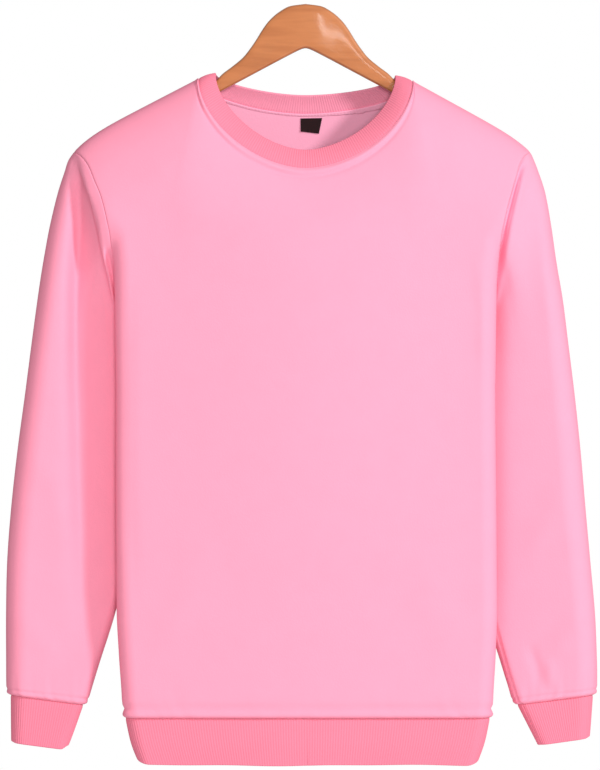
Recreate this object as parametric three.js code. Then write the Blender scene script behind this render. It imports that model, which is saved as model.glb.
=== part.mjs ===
// A crewneck sweatshirt of brushed fleece, hanging on a plain wooden hanger.
// Millimetres, +Z up, the front faces -Y. The origin is the crown of the hanger, at mid thickness.
// Heights are given as drops below that crown. Left and right are the wearer's, so left is +X.
// The seams between front and back lie in the plane Y = 0.

import * as THREE from "three";
import { mergeVertices } from "three/addons/utils/BufferGeometryUtils.js";

const FLEECE = 2.2; // thickness of the body cloth
const RIB = 2.6; // thickness of the doubled rib
const SEAM_GAP = 0.3; // between the pieces of a seam
const CURVED_GAP = 0.5; // the same along the armholes and neckline, whose facets cut the curve
const RIB_PITCH = 2.65; // from one raised rib to the next
const RIB_HEIGHT = 0.6;

const NECK_POINT = { x: 107, drop: 77 }; // where shoulder seam and neckline meet
const SHOULDER_DROP = 148; // outer end of the shoulder seam
const UNDERARM_DROP = 381;
const HEM_SEAM_DROP = 712;
const HEM_DROP = 759.5;

const FRONT_NECK_DEPTH = 88.3; // neckline seam at centre front, below the neck point
const BACK_NECK_DEPTH = 31;
const NECKLINE_ROUND = 1.8; // exponent of the neckline's superellipse
const NECK_EDGE = { x: 89.8, drop: 71, frontDepth: 75.4, backDepth: 18.5, round: 1.75 };
const NECK_EDGE_STAND = { front: 29, back: 27 }; // how far the free edge stands off Y = 0

const SHOULDER_ROUNDING = 120; // drop below the ridge over which the shoulder rounds out
const SHOULDER_SQUARE = 2.4; // exponent of that round: the cloth lies over the thick hanger
const FOLD_SPLAY = 0.12; // radians between the walls of the side tuck
const BACK_FULLNESS = 0.94; // depth of the back against the front
const HEM_SWING = 2.2; // the hem hangs this much towards the wearer's left
const SHOULDER_LIFT = 2.4; // the wearer's right shoulder sits this much higher

// Body sections. edge: outermost X of the side fold. cloth: cloth from the centre to the seam.
// fold, tuck: radii of the outer fold and of the tuck behind it. deep: share of the chest depth.
// crown: extra depth at the centre. tip: how much longer the wearer's right side is there.
// inset: how far the edge is drawn in to the rib.
const BODY = [
  { drop: 148, edge: 262, cloth: 228, fold: 16, tuck: 2, deep: 0.78, crown: 4, tip: 3.5, inset: 0 },
  { drop: 153, edge: 246, cloth: 221, fold: 16, tuck: 2, deep: 0.8, crown: 4.5, tip: 3, inset: 0 },
  { drop: 162, edge: 236, cloth: 215, fold: 16, tuck: 2, deep: 0.84, crown: 5, tip: 2, inset: 0 },
  { drop: 177, edge: 227.5, cloth: 209.5, fold: 16, tuck: 2, deep: 0.9, crown: 6, tip: 1, inset: 0 },
  { drop: 194, edge: 217.3, cloth: 203.5, fold: 16, tuck: 2, deep: 0.95, crown: 7, tip: 0, inset: 0 },
  { drop: 216, edge: 208, cloth: 198.1, fold: 16, tuck: 2, deep: 0.99, crown: 8, tip: 0, inset: 0 },
  { drop: 233, edge: 199.2, cloth: 195.8, fold: 16, tuck: 2, deep: 1, crown: 8, tip: 0, inset: 0 },
  { drop: 250, edge: 193, cloth: 197.9, fold: 16, tuck: 2, deep: 1, crown: 8, tip: 0, inset: 0 },
  { drop: 272, edge: 191, cloth: 203.3, fold: 16, tuck: 2, deep: 1, crown: 8, tip: 0, inset: 0 },
  { drop: 296, edge: 190.3, cloth: 215.1, fold: 16, tuck: 2, deep: 1, crown: 8, tip: 0, inset: 0 },
  { drop: 330, edge: 189.8, cloth: 233, fold: 16, tuck: 2, deep: 1, crown: 8, tip: 0, inset: 0 },
  { drop: 360, edge: 189.4, cloth: 251.5, fold: 16, tuck: 2.2, deep: 1, crown: 8, tip: 0, inset: 0 },
  { drop: 374, edge: 189.2, cloth: 260.5, fold: 16, tuck: 3.5, deep: 1, crown: 8, tip: 0, inset: 0 },
  { drop: 379, edge: 189.1, cloth: 263.8, fold: 16, tuck: 6, deep: 1, crown: 8, tip: 0, inset: 0 },
  { drop: 381, edge: 189, cloth: 265, fold: 16, tuck: 9.5, deep: 1, crown: 8, tip: 0, inset: 0 },
  { drop: 500, edge: 189.5, cloth: 264.5, fold: 16, tuck: 9.5, deep: 1, crown: 6, tip: 0, inset: 0 },
  { drop: 600, edge: 189.5, cloth: 262, fold: 16, tuck: 9.5, deep: 1, crown: 4, tip: 0, inset: 0 },
  { drop: 650, edge: 187.5, cloth: 260, fold: 16, tuck: 9.5, deep: 1, crown: 3, tip: 0, inset: 0 },
  { drop: 690, edge: 185, cloth: 257, fold: 16, tuck: 9.5, deep: 1, crown: 2.5, tip: 0, inset: 0 },
  { drop: 703, edge: 184.6, cloth: 253, fold: 16, tuck: 9.5, deep: 1, crown: 2.5, tip: 0, inset: 0 },
  { drop: 709.5, edge: 184.2, cloth: 249, fold: 16, tuck: 9.5, deep: 1, crown: 2, tip: 0, inset: 0.9 },
  { drop: 712, edge: 183.6, cloth: 247, fold: 16, tuck: 9.5, deep: 1, crown: 2, tip: 0, inset: 2.8 },
];

// The hem rib, from its seam to its free edge.
const HEM = [
  { drop: 712, edge: 181.6, cloth: 242, fold: 14, tuck: 9, crown: 2 },
  { drop: 735, edge: 177, cloth: 235, fold: 14, tuck: 9, crown: 1.5 },
  { drop: 759.5, edge: 170, cloth: 224, fold: 13, tuck: 9, crown: 1 },
];
const HEM_CORNER_LIFT = 6; // how far the free edge rises round the side folds

// Columns of a panel, from the centre to the side. The first eight end on the neckline, at these
// angles from its centre; the others on the shoulder. Below the underarm each keeps its share.
const NECK_ANGLES = [0, 17, 34, 50, 64, 76, 84, 90]; // degrees, the neck point at 90
const LOW_SHARES = [0, 0.16, 0.3, 0.42, 0.52, 0.59, 0.635, 0.665, 0.695, 0.73, 0.765, 0.8, 0.84, 0.92, 1];
const BODY_DROPS = [712, 709.5, 703, 690, 640, 570, 500, 440, 400, 381];
const ARMHOLE_DROPS = [381, 379, 374, 360, 330, 296, 272, 250, 233, 216, 194, 177, 162, 154, 150, 148];

// The sleeve's rings, from the shoulder to the cuff. Each is a flat loop of two round ends: X and
// drop of its outer and inner tip, and the radii R of the two ends.
// seam: how much of the armhole's own shape the ring keeps, if any. The leans are the difference
// between the sides: the wearer's right sleeve hangs that much further out.
const SLEEVE = [
  { outX: 237, outDrop: 168, inX: 143, inDrop: 384, outR: 12, inR: 4.5, seam: 0.7, outLean: 4, inLean: 0 },
  { outX: 244, outDrop: 190, inX: 144.3, inDrop: 386, outR: 15, inR: 5, seam: 0.48, outLean: 4, inLean: 0 },
  { outX: 250.6, outDrop: 222, inX: 144.8, inDrop: 389, outR: 18, inR: 5, seam: 0.3, outLean: 5, inLean: 0 },
  { outX: 256.3, outDrop: 258, inX: 145.3, inDrop: 393, outR: 20, inR: 5, seam: 0.16, outLean: 5.5, inLean: 0 },
  { outX: 262.5, outDrop: 296, inX: 146, inDrop: 399, outR: 21, inR: 5.2, seam: 0.06, outLean: 5.2, inLean: 0 },
  { outX: 268.5, outDrop: 341, inX: 147.5, inDrop: 409, outR: 21, inR: 5.5, outLean: 5.5, inLean: 0 },
  { outX: 275, outDrop: 392, inX: 150.5, inDrop: 428, outR: 21, inR: 6, outLean: 5.7, inLean: 0.5 },
  { outX: 281.5, outDrop: 446, inX: 156, inDrop: 462, outR: 21, inR: 6.5, outLean: 6.5, inLean: 1.5 },
  { outX: 287, outDrop: 502, inX: 165, inDrop: 510, outR: 21, inR: 7, outLean: 7.2, inLean: 2.5 },
  { outX: 291.5, outDrop: 556, inX: 174, inDrop: 560, outR: 20.5, inR: 8, outLean: 6.8, inLean: 4 },
  { outX: 294.5, outDrop: 610, inX: 186, inDrop: 612, outR: 20, inR: 9.5, outLean: 5, inLean: 5 },
  { outX: 295.4, outDrop: 655, inX: 200.3, inDrop: 658, outR: 19.5, inR: 12, outLean: 4, inLean: 5.3 },
  { outX: 295.4, outDrop: 677, inX: 208.2, inDrop: 684, outR: 19, inR: 13, outLean: 3.8, inLean: 5.3 },
  { outX: 294.8, outDrop: 686, inX: 211.8, inDrop: 695, outR: 18.5, inR: 13.5, outLean: 3.7, inLean: 5.3 },
  { outX: 292.4, outDrop: 690.3, inX: 215.4, inDrop: 700.3, outR: 16, inR: 12, outLean: 3.6, inLean: 5.2 },
];
const SLEEVE_LEAVE = 0.45; // how far the sleeve runs straight on from the armhole seam
const CUFF_END = {
  outX: 289.5,
  outDrop: 736,
  inX: 235,
  inDrop: 743.5,
  outR: 13,
  inR: 11.5,
  outLean: 5,
  inLean: 2.6,
};
const CUFF_SAG = 2.3; // the wearer's right cuff hangs this much lower than the middle, the left higher
const CUFF_INSET = 0.016; // share of its width by which the cuff starts inside the sleeve

const LABEL = { thickness: 0.6, columns: 4, rows: 4 };
const LABEL_TOP = [{ x: -5, drop: 113 }, { x: 16.8, drop: 112.6 }];
const LABEL_BOTTOM = [{ x: -4.8, drop: 126 }, { x: 13.5, drop: 128.2 }];

// Upper outline of the hanger as far as the neck; beyond it the arm follows the shoulder seam.
const HANGER_CROWN = [
  { x: 0, drop: 0 },
  { x: 14.9, drop: 2 },
  { x: 26.4, drop: 8 },
  { x: 36.6, drop: 17 },
  { x: 43.3, drop: 26 },
  { x: 49, drop: 35.3 },
  { x: 54.9, drop: 44 },
  { x: 62, drop: 53 },
  { x: 72.5, drop: 62 },
  { x: 82.5, drop: 69.5 },
  { x: 91, drop: 77.5 },
  { x: 108, drop: 84.5 },
];
const HANGER = { thickness: 11, bevel: 2.6, throat: 43, lowerSlope: 0.536, reach: 203, clearance: 4.4 };

const colours = {
  fleece: { color: 0xfdb0cc, roughness: 0.95, metalness: 0 },
  rib: { color: 0xfa94b0, roughness: 0.95, metalness: 0 },
  label: { color: 0x2a1418, roughness: 0.8, metalness: 0 },
  wood: { color: 0xdb8b58, roughness: 0.35, metalness: 0 },
};

const lerp = THREE.MathUtils.lerp;
const vec = (x, y, z) => new THREE.Vector3(x, y, z);

// A named column of a table at a drop, by a cubic that never overshoots its rows.
function column(table, name, drop) {
  const last = table.length - 1;
  const at = Math.min(Math.max(drop, table[0].drop), table[last].drop);
  let k = 0;
  while (k < last - 1 && at > table[k + 1].drop) k += 1;
  const slope = (i) => (table[i + 1][name] - table[i][name]) / (table[i + 1].drop - table[i].drop);
  const tangent = (i) => {
    if (i === 0) return slope(0);
    if (i === last) return slope(last - 1);
    const [before, after] = [slope(i - 1), slope(i)];
    return before * after > 0 ? (2 * before * after) / (before + after) : 0;
  };
  const width = table[k + 1].drop - table[k].drop;
  const t = (at - table[k].drop) / width;
  const [t2, t3] = [t * t, t * t * t];
  return (
    (2 * t3 - 3 * t2 + 1) * table[k][name] +
    (t3 - 2 * t2 + t) * width * tangent(k) +
    (3 * t2 - 2 * t3) * table[k + 1][name] +
    (t3 - t2) * width * tangent(k + 1)
  );
}

// Turns of the cloth at the side: how far it folds round, and the straight run behind the fold.
function sideFold({ edge, cloth, fold, tuck }) {
  const flat = edge - fold;
  const spare = cloth - flat;
  if (spare <= (fold * Math.PI) / 2) return { flat, turn: Math.max(spare / fold, 0), run: 0 };
  const fullTurn = Math.PI - FOLD_SPLAY;
  const turn = (spare + (tuck * Math.PI) / 2) / (fold + tuck);
  if (turn <= fullTurn) return { flat, turn, run: 0 };
  return { flat, turn: fullTurn, run: spare - fold * fullTurn - tuck * (fullTurn - Math.PI / 2) };
}

// Depth at which a folded side closes on Y = 0.
function closedDepth(section) {
  const { turn, run } = sideFold(section);
  return section.fold - (section.fold + section.tuck) * Math.cos(turn) + run * Math.sin(turn);
}

// A point of a section, p along the cloth from the centre: x, depth and the heading there.
function sectionPoint(section, depth, p) {
  const { fold, tuck, crown } = section;
  const { flat, turn, run } = sideFold(section);
  if (p <= flat) {
    const bulge = crown * (1 - (p / flat) ** 2) ** 2;
    return { x: p, depth: depth + bulge, heading: 0 };
  }
  const folded = Math.min(p - flat, fold * turn);
  const heading = folded / fold;
  let x = flat + fold * Math.sin(heading);
  let inward = depth - fold + fold * Math.cos(heading);
  const straight = Math.min(Math.max(p - flat - fold * turn, 0), run);
  x += straight * Math.cos(turn);
  inward -= straight * Math.sin(turn);
  const back = Math.max(p - flat - fold * turn - run, 0) / tuck;
  x += tuck * (Math.sin(turn) - Math.sin(turn - back));
  inward -= tuck * (Math.cos(turn - back) - Math.cos(turn));
  return { x, depth: inward, heading: heading - back };
}

const chest = Object.fromEntries(
  ["edge", "cloth", "fold", "tuck", "crown"].map((name) => [name, column(BODY, name, UNDERARM_DROP)]),
);
const CHEST_DEPTH = closedDepth(chest);

// The body's section at a drop on one side (+1 is +X).
function bodySection(drop, side) {
  const section = {};
  for (const name of ["edge", "cloth", "fold", "tuck", "crown", "deep", "inset"])
    section[name] = column(BODY, name, drop);
  section.cloth -= side * column(BODY, "tip", drop);
  const depth = drop >= UNDERARM_DROP ? closedDepth(section) : CHEST_DEPTH * section.deep;
  return { section, depth };
}

// How far a drop has swung to the wearer's left, and how much higher one shoulder sits.
const swing = (drop) => HEM_SWING * THREE.MathUtils.smoothstep(drop, UNDERARM_DROP, HEM_DROP);
const lift = (x, side) => (side < 0 ? SHOULDER_LIFT * Math.min(x / NECK_POINT.x, 1) ** 4 : 0);

// Half width of the shoulders on a side, and the drop of the ridge that front and back share.
const shoulderReach = (side) => BODY[0].cloth - side * BODY[0].tip;
function ridgeDrop(x, side) {
  const top = NECK_POINT.drop - lift(x, side);
  if (x < NECK_POINT.x) return top - 28.5 * (1 - (x / NECK_POINT.x) ** 2);
  const along = Math.min((x - NECK_POINT.x) / (shoulderReach(side) - NECK_POINT.x), 1);
  return top + 64.5 * along + (6.5 + lift(x, side)) * along ** 8;
}

// How much of its depth the cloth has, by its drop below the ridge: a quarter superellipse.
function roundOut(x, drop, side) {
  const t = Math.min(Math.max((drop - ridgeDrop(x, side)) / SHOULDER_ROUNDING, 0), 1);
  return (1 - (1 - t) ** SHOULDER_SQUARE) ** (1 / SHOULDER_SQUARE);
}

// Top edge of a panel at column c (0 centre, 1 side): half width and drop.
const NECK_COLUMN = (NECK_ANGLES.length - 1) / (LOW_SHARES.length - 1);
function topEdge(c, side, neckDepth) {
  if (c <= NECK_COLUMN) {
    const k = (c / NECK_COLUMN) * (NECK_ANGLES.length - 1);
    const i = Math.min(Math.floor(k), NECK_ANGLES.length - 2);
    const angle = THREE.MathUtils.degToRad(lerp(NECK_ANGLES[i], NECK_ANGLES[i + 1], k - i));
    const power = 2 / NECKLINE_ROUND;
    const x = NECK_POINT.x * Math.sin(angle) ** power;
    return { x, drop: NECK_POINT.drop + neckDepth * Math.max(Math.cos(angle), 0) ** power - lift(x, side) };
  }
  const x = lerp(NECK_POINT.x, shoulderReach(side), (c - NECK_COLUMN) / (1 - NECK_COLUMN));
  return { x, drop: ridgeDrop(x, side) };
}

// A point of the body's outer face. row is the drop at the side; face is -1 front, +1 back.
function bodyPoint(c, row, side, face) {
  const { section, depth } = bodySection(row, side);
  const k = c * (LOW_SHARES.length - 1);
  const i = Math.min(Math.floor(k), LOW_SHARES.length - 2);
  const low = lerp(LOW_SHARES[i], LOW_SHARES[i + 1], k - i);
  const rise = Math.max((UNDERARM_DROP - row) / (UNDERARM_DROP - SHOULDER_DROP), 0);
  const top = topEdge(c, side, face < 0 ? FRONT_NECK_DEPTH : BACK_NECK_DEPTH);
  const dip = section.cloth - lerp(chest.cloth, shoulderReach(side), rise);
  const near = Math.max((c - NECK_COLUMN) / (1 - NECK_COLUMN), 0) ** 1.5;
  const cut = lerp(low * chest.cloth, top.x, rise) + near * dip;
  const at = sectionPoint(section, depth, rise > 0 ? cut : low * section.cloth);
  const drop = rise > 0 ? lerp(UNDERARM_DROP, top.drop, rise) : row;
  const round = rise > 0 ? roundOut(at.x, drop, side) : 1;
  const fullness = face < 0 ? 1 : lerp(1, BACK_FULLNESS, THREE.MathUtils.smoothstep(1 - c, 0.35, 0.7));
  const x = at.x - section.inset * Math.sin(at.heading);
  const y = at.depth * round * fullness - section.inset * Math.cos(at.heading);
  return vec(side * x + swing(drop), face * (y + SEAM_GAP / 2), -drop);
}

// Outward normal of the body's cloth. On the shoulder and side seams it lies in Y = 0.
function bodyNormal(c, row, side, face) {
  const [stepC, stepRow] = [1e-3, 0.05];
  if (row === SHOULDER_DROP && c >= NECK_COLUMN) {
    const x = topEdge(c, side, 0).x;
    const fall = ridgeDrop(x + 0.5, side) - ridgeDrop(Math.max(x - 0.5, NECK_POINT.x), side);
    return vec(side * fall, 0, Math.min(x + 0.5 - NECK_POINT.x, 1)).normalize();
  }
  const across = bodyPoint(Math.min(c + stepC, 1), row, side, face);
  across.sub(bodyPoint(Math.max(c - stepC, 0), row, side, face));
  const up = bodyPoint(c, Math.max(row - stepRow, SHOULDER_DROP), side, face);
  up.sub(bodyPoint(c, Math.min(row + stepRow, HEM_SEAM_DROP), side, face));
  const normal = across.cross(up).multiplyScalar(-side * face);
  if (c === 0) normal.setX(0);
  if (c === 1 && row >= UNDERARM_DROP) normal.setY(0);
  return normal.normalize();
}

// The frame of a seam or edge: along it, out of the cloth, and on past the edge.
function edgeFrame(along, across) {
  const normal = along.clone().cross(across).normalize();
  return { normal, leave: normal.clone().cross(along).normalize() };
}

// The armhole seam on one side and face: point, cloth normal and direction into the sleeve.
function armholeAt(row, side, face) {
  const step = 0.02;
  const here = bodyPoint(1, row, side, face);
  const up = bodyPoint(1, Math.max(row - step, SHOULDER_DROP), side, face);
  const down = bodyPoint(1, Math.min(row + step, UNDERARM_DROP), side, face);
  const along = up.sub(down).normalize();
  const across = here.clone().sub(bodyPoint(1 - 1e-4, row, side, face)).normalize();
  const { normal, leave } = edgeFrame(along, across);
  const outward = normal.multiplyScalar(side * face);
  if (leave.dot(across) < 0) leave.negate();
  return { here, outward, leave };
}

// A closed body from triangles of points.
function solid(name, triangles, look) {
  const geometry = new THREE.BufferGeometry();
  const values = triangles.flatMap((point) => point.toArray());
  geometry.setAttribute("position", new THREE.Float32BufferAttribute(values, 3));
  const merged = mergeVertices(geometry, 1e-4);
  const position = merged.getAttribute("position");
  const index = merged.index;
  const [a, b, c] = [vec(), vec(), vec()];
  let volume = 0;
  for (let i = 0; i < index.count; i += 3) {
    a.fromBufferAttribute(position, index.getX(i));
    b.fromBufferAttribute(position, index.getX(i + 1));
    c.fromBufferAttribute(position, index.getX(i + 2));
    volume += a.dot(b.cross(c));
  }
  if (volume < 0)
    for (let i = 0; i < index.count; i += 3) {
      const first = index.getX(i);
      index.setX(i, index.getX(i + 1));
      index.setX(i + 1, first);
    }
  merged.computeVertexNormals();
  const mesh = new THREE.Mesh(merged, new THREE.MeshStandardMaterial(look));
  mesh.name = name;
  return mesh;
}

// Triangles of a grid of points, closed into a ring if asked.
function gridTriangles(rows, ring) {
  const out = [];
  for (let i = 0; i + 1 < rows.length; i += 1) {
    const count = rows[i].length;
    for (let j = 0; j < (ring ? count : count - 1); j += 1) {
      const n = (j + 1) % count;
      const [a, b, c, d] = [rows[i][j], rows[i][n], rows[i + 1][n], rows[i + 1][j]];
      if (a.distanceTo(c) < b.distanceTo(d)) out.push(a, b, c, a, c, d);
      else out.push(a, b, d, b, c, d);
    }
  }
  return out;
}

// The strip between an outer edge and an inner edge with `ratio` times fewer points.
function rimTriangles(outer, inner, ring) {
  const out = [];
  const ratio = ring ? outer.length / inner.length : (outer.length - 1) / (inner.length - 1);
  const spans = ring ? inner.length : inner.length - 1;
  for (let k = 0; k < spans; k += 1) {
    const [a, b] = [inner[k], inner[(k + 1) % inner.length]];
    const middle = k * ratio + Math.ceil(ratio / 2);
    for (let j = k * ratio; j < (k + 1) * ratio; j += 1)
      out.push(outer[j], j < middle ? a : b, outer[(j + 1) % outer.length]);
    out.push(outer[middle % outer.length], a, b);
  }
  return out;
}

const flipped = (triangles) => {
  const out = [];
  for (let i = 0; i < triangles.length; i += 3) out.push(triangles[i], triangles[i + 2], triangles[i + 1]);
  return out;
};

// A wall: outer grid, inner grid and the rims between them.
function wallTriangles(outer, inner, ring) {
  const last = outer.length - 1;
  const parts = [
    gridTriangles(outer, ring),
    flipped(gridTriangles(inner, ring)),
    rimTriangles(outer[0], inner[0], ring),
    flipped(rimTriangles(outer[last], inner[last], ring)),
  ];
  if (!ring) {
    const side = (rows, j) => rows.map((row) => row[j]);
    const end = outer[0].length - 1;
    parts.push(flipped(rimTriangles(side(outer, 0), side(inner, 0), false)));
    parts.push(rimTriangles(side(outer, end), side(inner, end), false));
  }
  return parts.flat();
}

// Outward normals of a grid. facing is +1 where columns x rows points outward.
function gridNormals(rows, ring, facing) {
  return rows.map((row, i) =>
    row.map((point, j) => {
      const count = row.length;
      const next = ring ? row[(j + 1) % count] : row[Math.min(j + 1, count - 1)];
      const before = ring ? row[(j + count - 1) % count] : row[Math.max(j - 1, 0)];
      const above = rows[Math.min(i + 1, rows.length - 1)][j];
      const below = rows[Math.max(i - 1, 0)][j];
      const normal = next.clone().sub(before).cross(above.clone().sub(below)).normalize();
      return normal.multiplyScalar(facing);
    }),
  );
}

// Front or back panel, with its columns running so that columns x rows points outward.
const columnShares = LOW_SHARES.map((_share, k) => k / (LOW_SHARES.length - 1));
const panelRows = [...BODY_DROPS, ...ARMHOLE_DROPS.slice(1)];
function panelPlaces(face) {
  const halves = [
    ...columnShares.slice(1).reverse().map((c) => ({ c, side: -1 })),
    ...columnShares.map((c) => ({ c, side: 1 })),
  ];
  return face < 0 ? halves : halves.reverse();
}
function panelGrid(face) {
  const places = panelPlaces(face);
  return panelRows.map((row) => places.map(({ c, side }) => bodyPoint(c, row, side, face)));
}
function panel(name, face) {
  const places = panelPlaces(face);
  const outer = panelGrid(face);
  const inner = outer.map((points, i) =>
    points.map((point, j) => {
      const { c, side } = places[j];
      const row = panelRows[i];
      const onSeam = c === 1 && (row === SHOULDER_DROP || row === UNDERARM_DROP);
      const onArmhole = c === 1 && row <= UNDERARM_DROP;
      const normal = onArmhole ? armholeAt(row, side, face).outward : bodyNormal(c, row, side, face);
      if (onSeam) normal.setY(0).normalize();
      if (i === 0) normal.setZ(0).normalize();
      return point.clone().addScaledVector(normal, -FLEECE);
    }),
  );
  return solid(name, wallTriangles(outer, inner, false), colours.fleece);
}

// Half of a flat loop with two round ends, by share of its length from the outer tip.
// Returns the distance from the outer tip, half thickness and the normal's two parts.
function loopPoint(width, outerR, innerR, share) {
  const between = width - outerR - innerR;
  const lean = Math.asin((outerR - innerR) / between);
  const outerTurn = Math.PI / 2 + lean;
  const lengths = [outerR * outerTurn, between * Math.cos(lean), innerR * (Math.PI - outerTurn)];
  const at = share * (lengths[0] + lengths[1] + lengths[2]);
  const onArc = (centre, radius, angle) => ({
    along: centre - radius * Math.cos(angle),
    half: radius * Math.sin(angle),
    normal: [-Math.cos(angle), Math.sin(angle)],
  });
  if (at <= lengths[0]) return onArc(outerR, outerR, at / outerR);
  if (at >= lengths[0] + lengths[1])
    return onArc(width - innerR, innerR, outerTurn + (at - lengths[0] - lengths[1]) / innerR);
  const start = onArc(outerR, outerR, outerTurn);
  const run = at - lengths[0];
  return { ...start, along: start.along + run * Math.cos(lean), half: start.half - run * Math.sin(lean) };
}

// The two tips of a ring on one side, and the unit directions of its plane.
function ringEnds(row, side) {
  const sag = row.sag ?? 0;
  const outer = vec(side * row.outX - row.outLean, 0, side * sag - row.outDrop);
  const inner = vec(side * row.inX - row.inLean, 0, side * sag - row.inDrop);
  const axis = inner.clone().sub(outer);
  return { outer, axis: axis.clone().normalize(), width: axis.length() };
}

// Point and in-plane normal of a ring. share runs 0 to 1 down the front and on to 2 up the back.
function ringPoint(row, side, share) {
  const { outer, axis, width } = ringEnds(row, side);
  const face = share <= 1 ? -1 : 1;
  const loop = loopPoint(width, row.outR, row.inR, share <= 1 ? share : 2 - share);
  const point = outer.clone().addScaledVector(axis, loop.along).add(vec(0, face * loop.half, 0));
  const normal = axis.clone().multiplyScalar(loop.normal[0]).add(vec(0, face * loop.normal[1], 0));
  return { point, normal };
}

// The armhole seam as a closed ring of frames, from the shoulder down the front and up the back.
function armholeRing(side) {
  const downwards = [...ARMHOLE_DROPS].reverse();
  const front = downwards.map((row) => armholeAt(row, side, -1));
  const back = downwards.map((row) => armholeAt(row, side, 1));
  const joined = (a, b) => ({
    here: a.here.clone().add(b.here).multiplyScalar(0.5),
    outward: a.outward.clone().add(b.outward).setY(0).normalize(),
    leave: a.leave.clone().add(b.leave).setY(0).normalize(),
  });
  const end = front.length - 1;
  const frames = [joined(front[0], back[0]), ...front.slice(1, end), joined(front[end], back[end])];
  frames.push(...back.slice(1, end).reverse());
  const lengths = [0];
  for (let k = 1; k <= end; k += 1)
    lengths.push(lengths[k - 1] + front[k].here.distanceTo(front[k - 1].here));
  const shares = lengths.map((length) => length / lengths[end]);
  const around = [...shares, ...shares.slice(1, end).reverse().map((share) => 2 - share)];
  return { frames, around };
}

// A sleeve's outer grid: the seam, a step out of it, then the rings down to the cuff.
function sleeveGrid(side) {
  const { frames, around } = armholeRing(side);
  const [shoulder, underarm] = [frames[0].here, frames[frames.length / 2].here];
  const chord = underarm.clone().sub(shoulder);
  const rings = SLEEVE.map((row) =>
    around.map((share, k) => {
      const { point } = ringPoint(row, side, share);
      if (!row.seam) return point;
      const seam = frames[k].here;
      const along = seam.clone().sub(shoulder).dot(chord) / chord.lengthSq();
      const bow = seam.clone().sub(shoulder).addScaledVector(chord, -along).setY(0);
      point.addScaledVector(bow, row.seam);
      return point.setY(lerp(point.y, seam.y, row.seam));
    }),
  );
  const seam = frames.map(({ here, leave }) => here.clone().addScaledVector(leave, CURVED_GAP));
  const step = (t) =>
    rings[0].map((point, k) => {
      const reach = point.distanceTo(seam[k]) * SLEEVE_LEAVE;
      const control = seam[k].clone().addScaledVector(frames[k].leave, reach);
      return seam[k]
        .clone()
        .multiplyScalar((1 - t) ** 2)
        .addScaledVector(control, 2 * t * (1 - t))
        .addScaledVector(point, t * t);
    });
  return { frames, around, grid: [seam, step(0.5), ...rings] };
}

function sleeve(name, side) {
  const { frames, around, grid } = sleeveGrid(side);
  const normals = gridNormals(grid, true, side);
  const last = grid.length - 1;
  const inner = grid.map((points, i) =>
    points.map((point, k) => {
      let normal = normals[i][k];
      if (i === 0) normal = frames[k].outward;
      if (i === last) normal = ringPoint(SLEEVE[SLEEVE.length - 1], side, around[k]).normal;
      return point.clone().addScaledVector(normal, -FLEECE);
    }),
  );
  return solid(name, wallTriangles(grid, inner, true), colours.fleece);
}

// A ribbed band round an opening. surface(t, f) gives its smooth outer face, t from seam to edge
// and f round the loop; edgeNormal(f) gives the shared normal at the seam.
function ribbedBand(name, { surface, edgeNormal, rows, ribs, ratio, facing }) {
  const step = 1e-3;
  const normalAt = (t, f) => {
    const across = surface(t, (f + step) % 1).sub(surface(t, (f + 1 - step) % 1));
    const along = surface(Math.min(t + step, 1), f).sub(surface(Math.max(t - step, 0), f));
    return across.cross(along).normalize().multiplyScalar(facing);
  };
  const columns = ribs * 2;
  const outer = rows.map((t) =>
    Array.from({ length: columns }, (_, j) => {
      const f = j / columns;
      const sunk = j % 2 === 0 ? 0 : -RIB_HEIGHT;
      return surface(t, f).addScaledVector(t === 0 ? edgeNormal(f) : normalAt(t, f), sunk);
    }),
  );
  const inner = rows.map((t) =>
    Array.from({ length: columns / ratio }, (_, k) => {
      const f = (k * ratio) / columns;
      return surface(t, f).addScaledVector(t === 0 ? edgeNormal(f) : normalAt(t, f), -RIB);
    }),
  );
  return solid(name, wallTriangles(outer, inner, true), colours.rib);
}

// The neckline as a closed run of frames, from the wearer's left neck point along the front.
function necklineFrames() {
  const run = (face) => {
    const neck = panelPlaces(face).filter(({ c }) => c <= NECK_COLUMN);
    const frames = neck.map(({ c, side }) => ({
      c,
      side,
      here: bodyPoint(c, SHOULDER_DROP, side, face),
      outward: bodyNormal(c, SHOULDER_DROP, side, face),
    }));
    return frames.sort((a, b) => b.side * b.c - a.side * a.c);
  };
  const front = run(-1);
  const back = run(1).reverse();
  const angled = (frame, face) => ({ ...frame, face, angle: frame.side * lerp(...neckAngleSpan(frame.c)) });
  const list = [
    ...front.map((frame) => angled(frame, -1)),
    ...back.slice(1, -1).map((frame) => angled(frame, 1)),
  ];
  for (const k of [0, front.length - 1]) {
    list[k].here.setY(0);
    list[k].outward.setY(0).normalize();
  }
  return list;
}
function neckAngleSpan(c) {
  const k = (c / NECK_COLUMN) * (NECK_ANGLES.length - 1);
  const i = Math.min(Math.floor(k + 1e-9), NECK_ANGLES.length - 2);
  return [NECK_ANGLES[i], NECK_ANGLES[i + 1], k - i];
}

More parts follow.
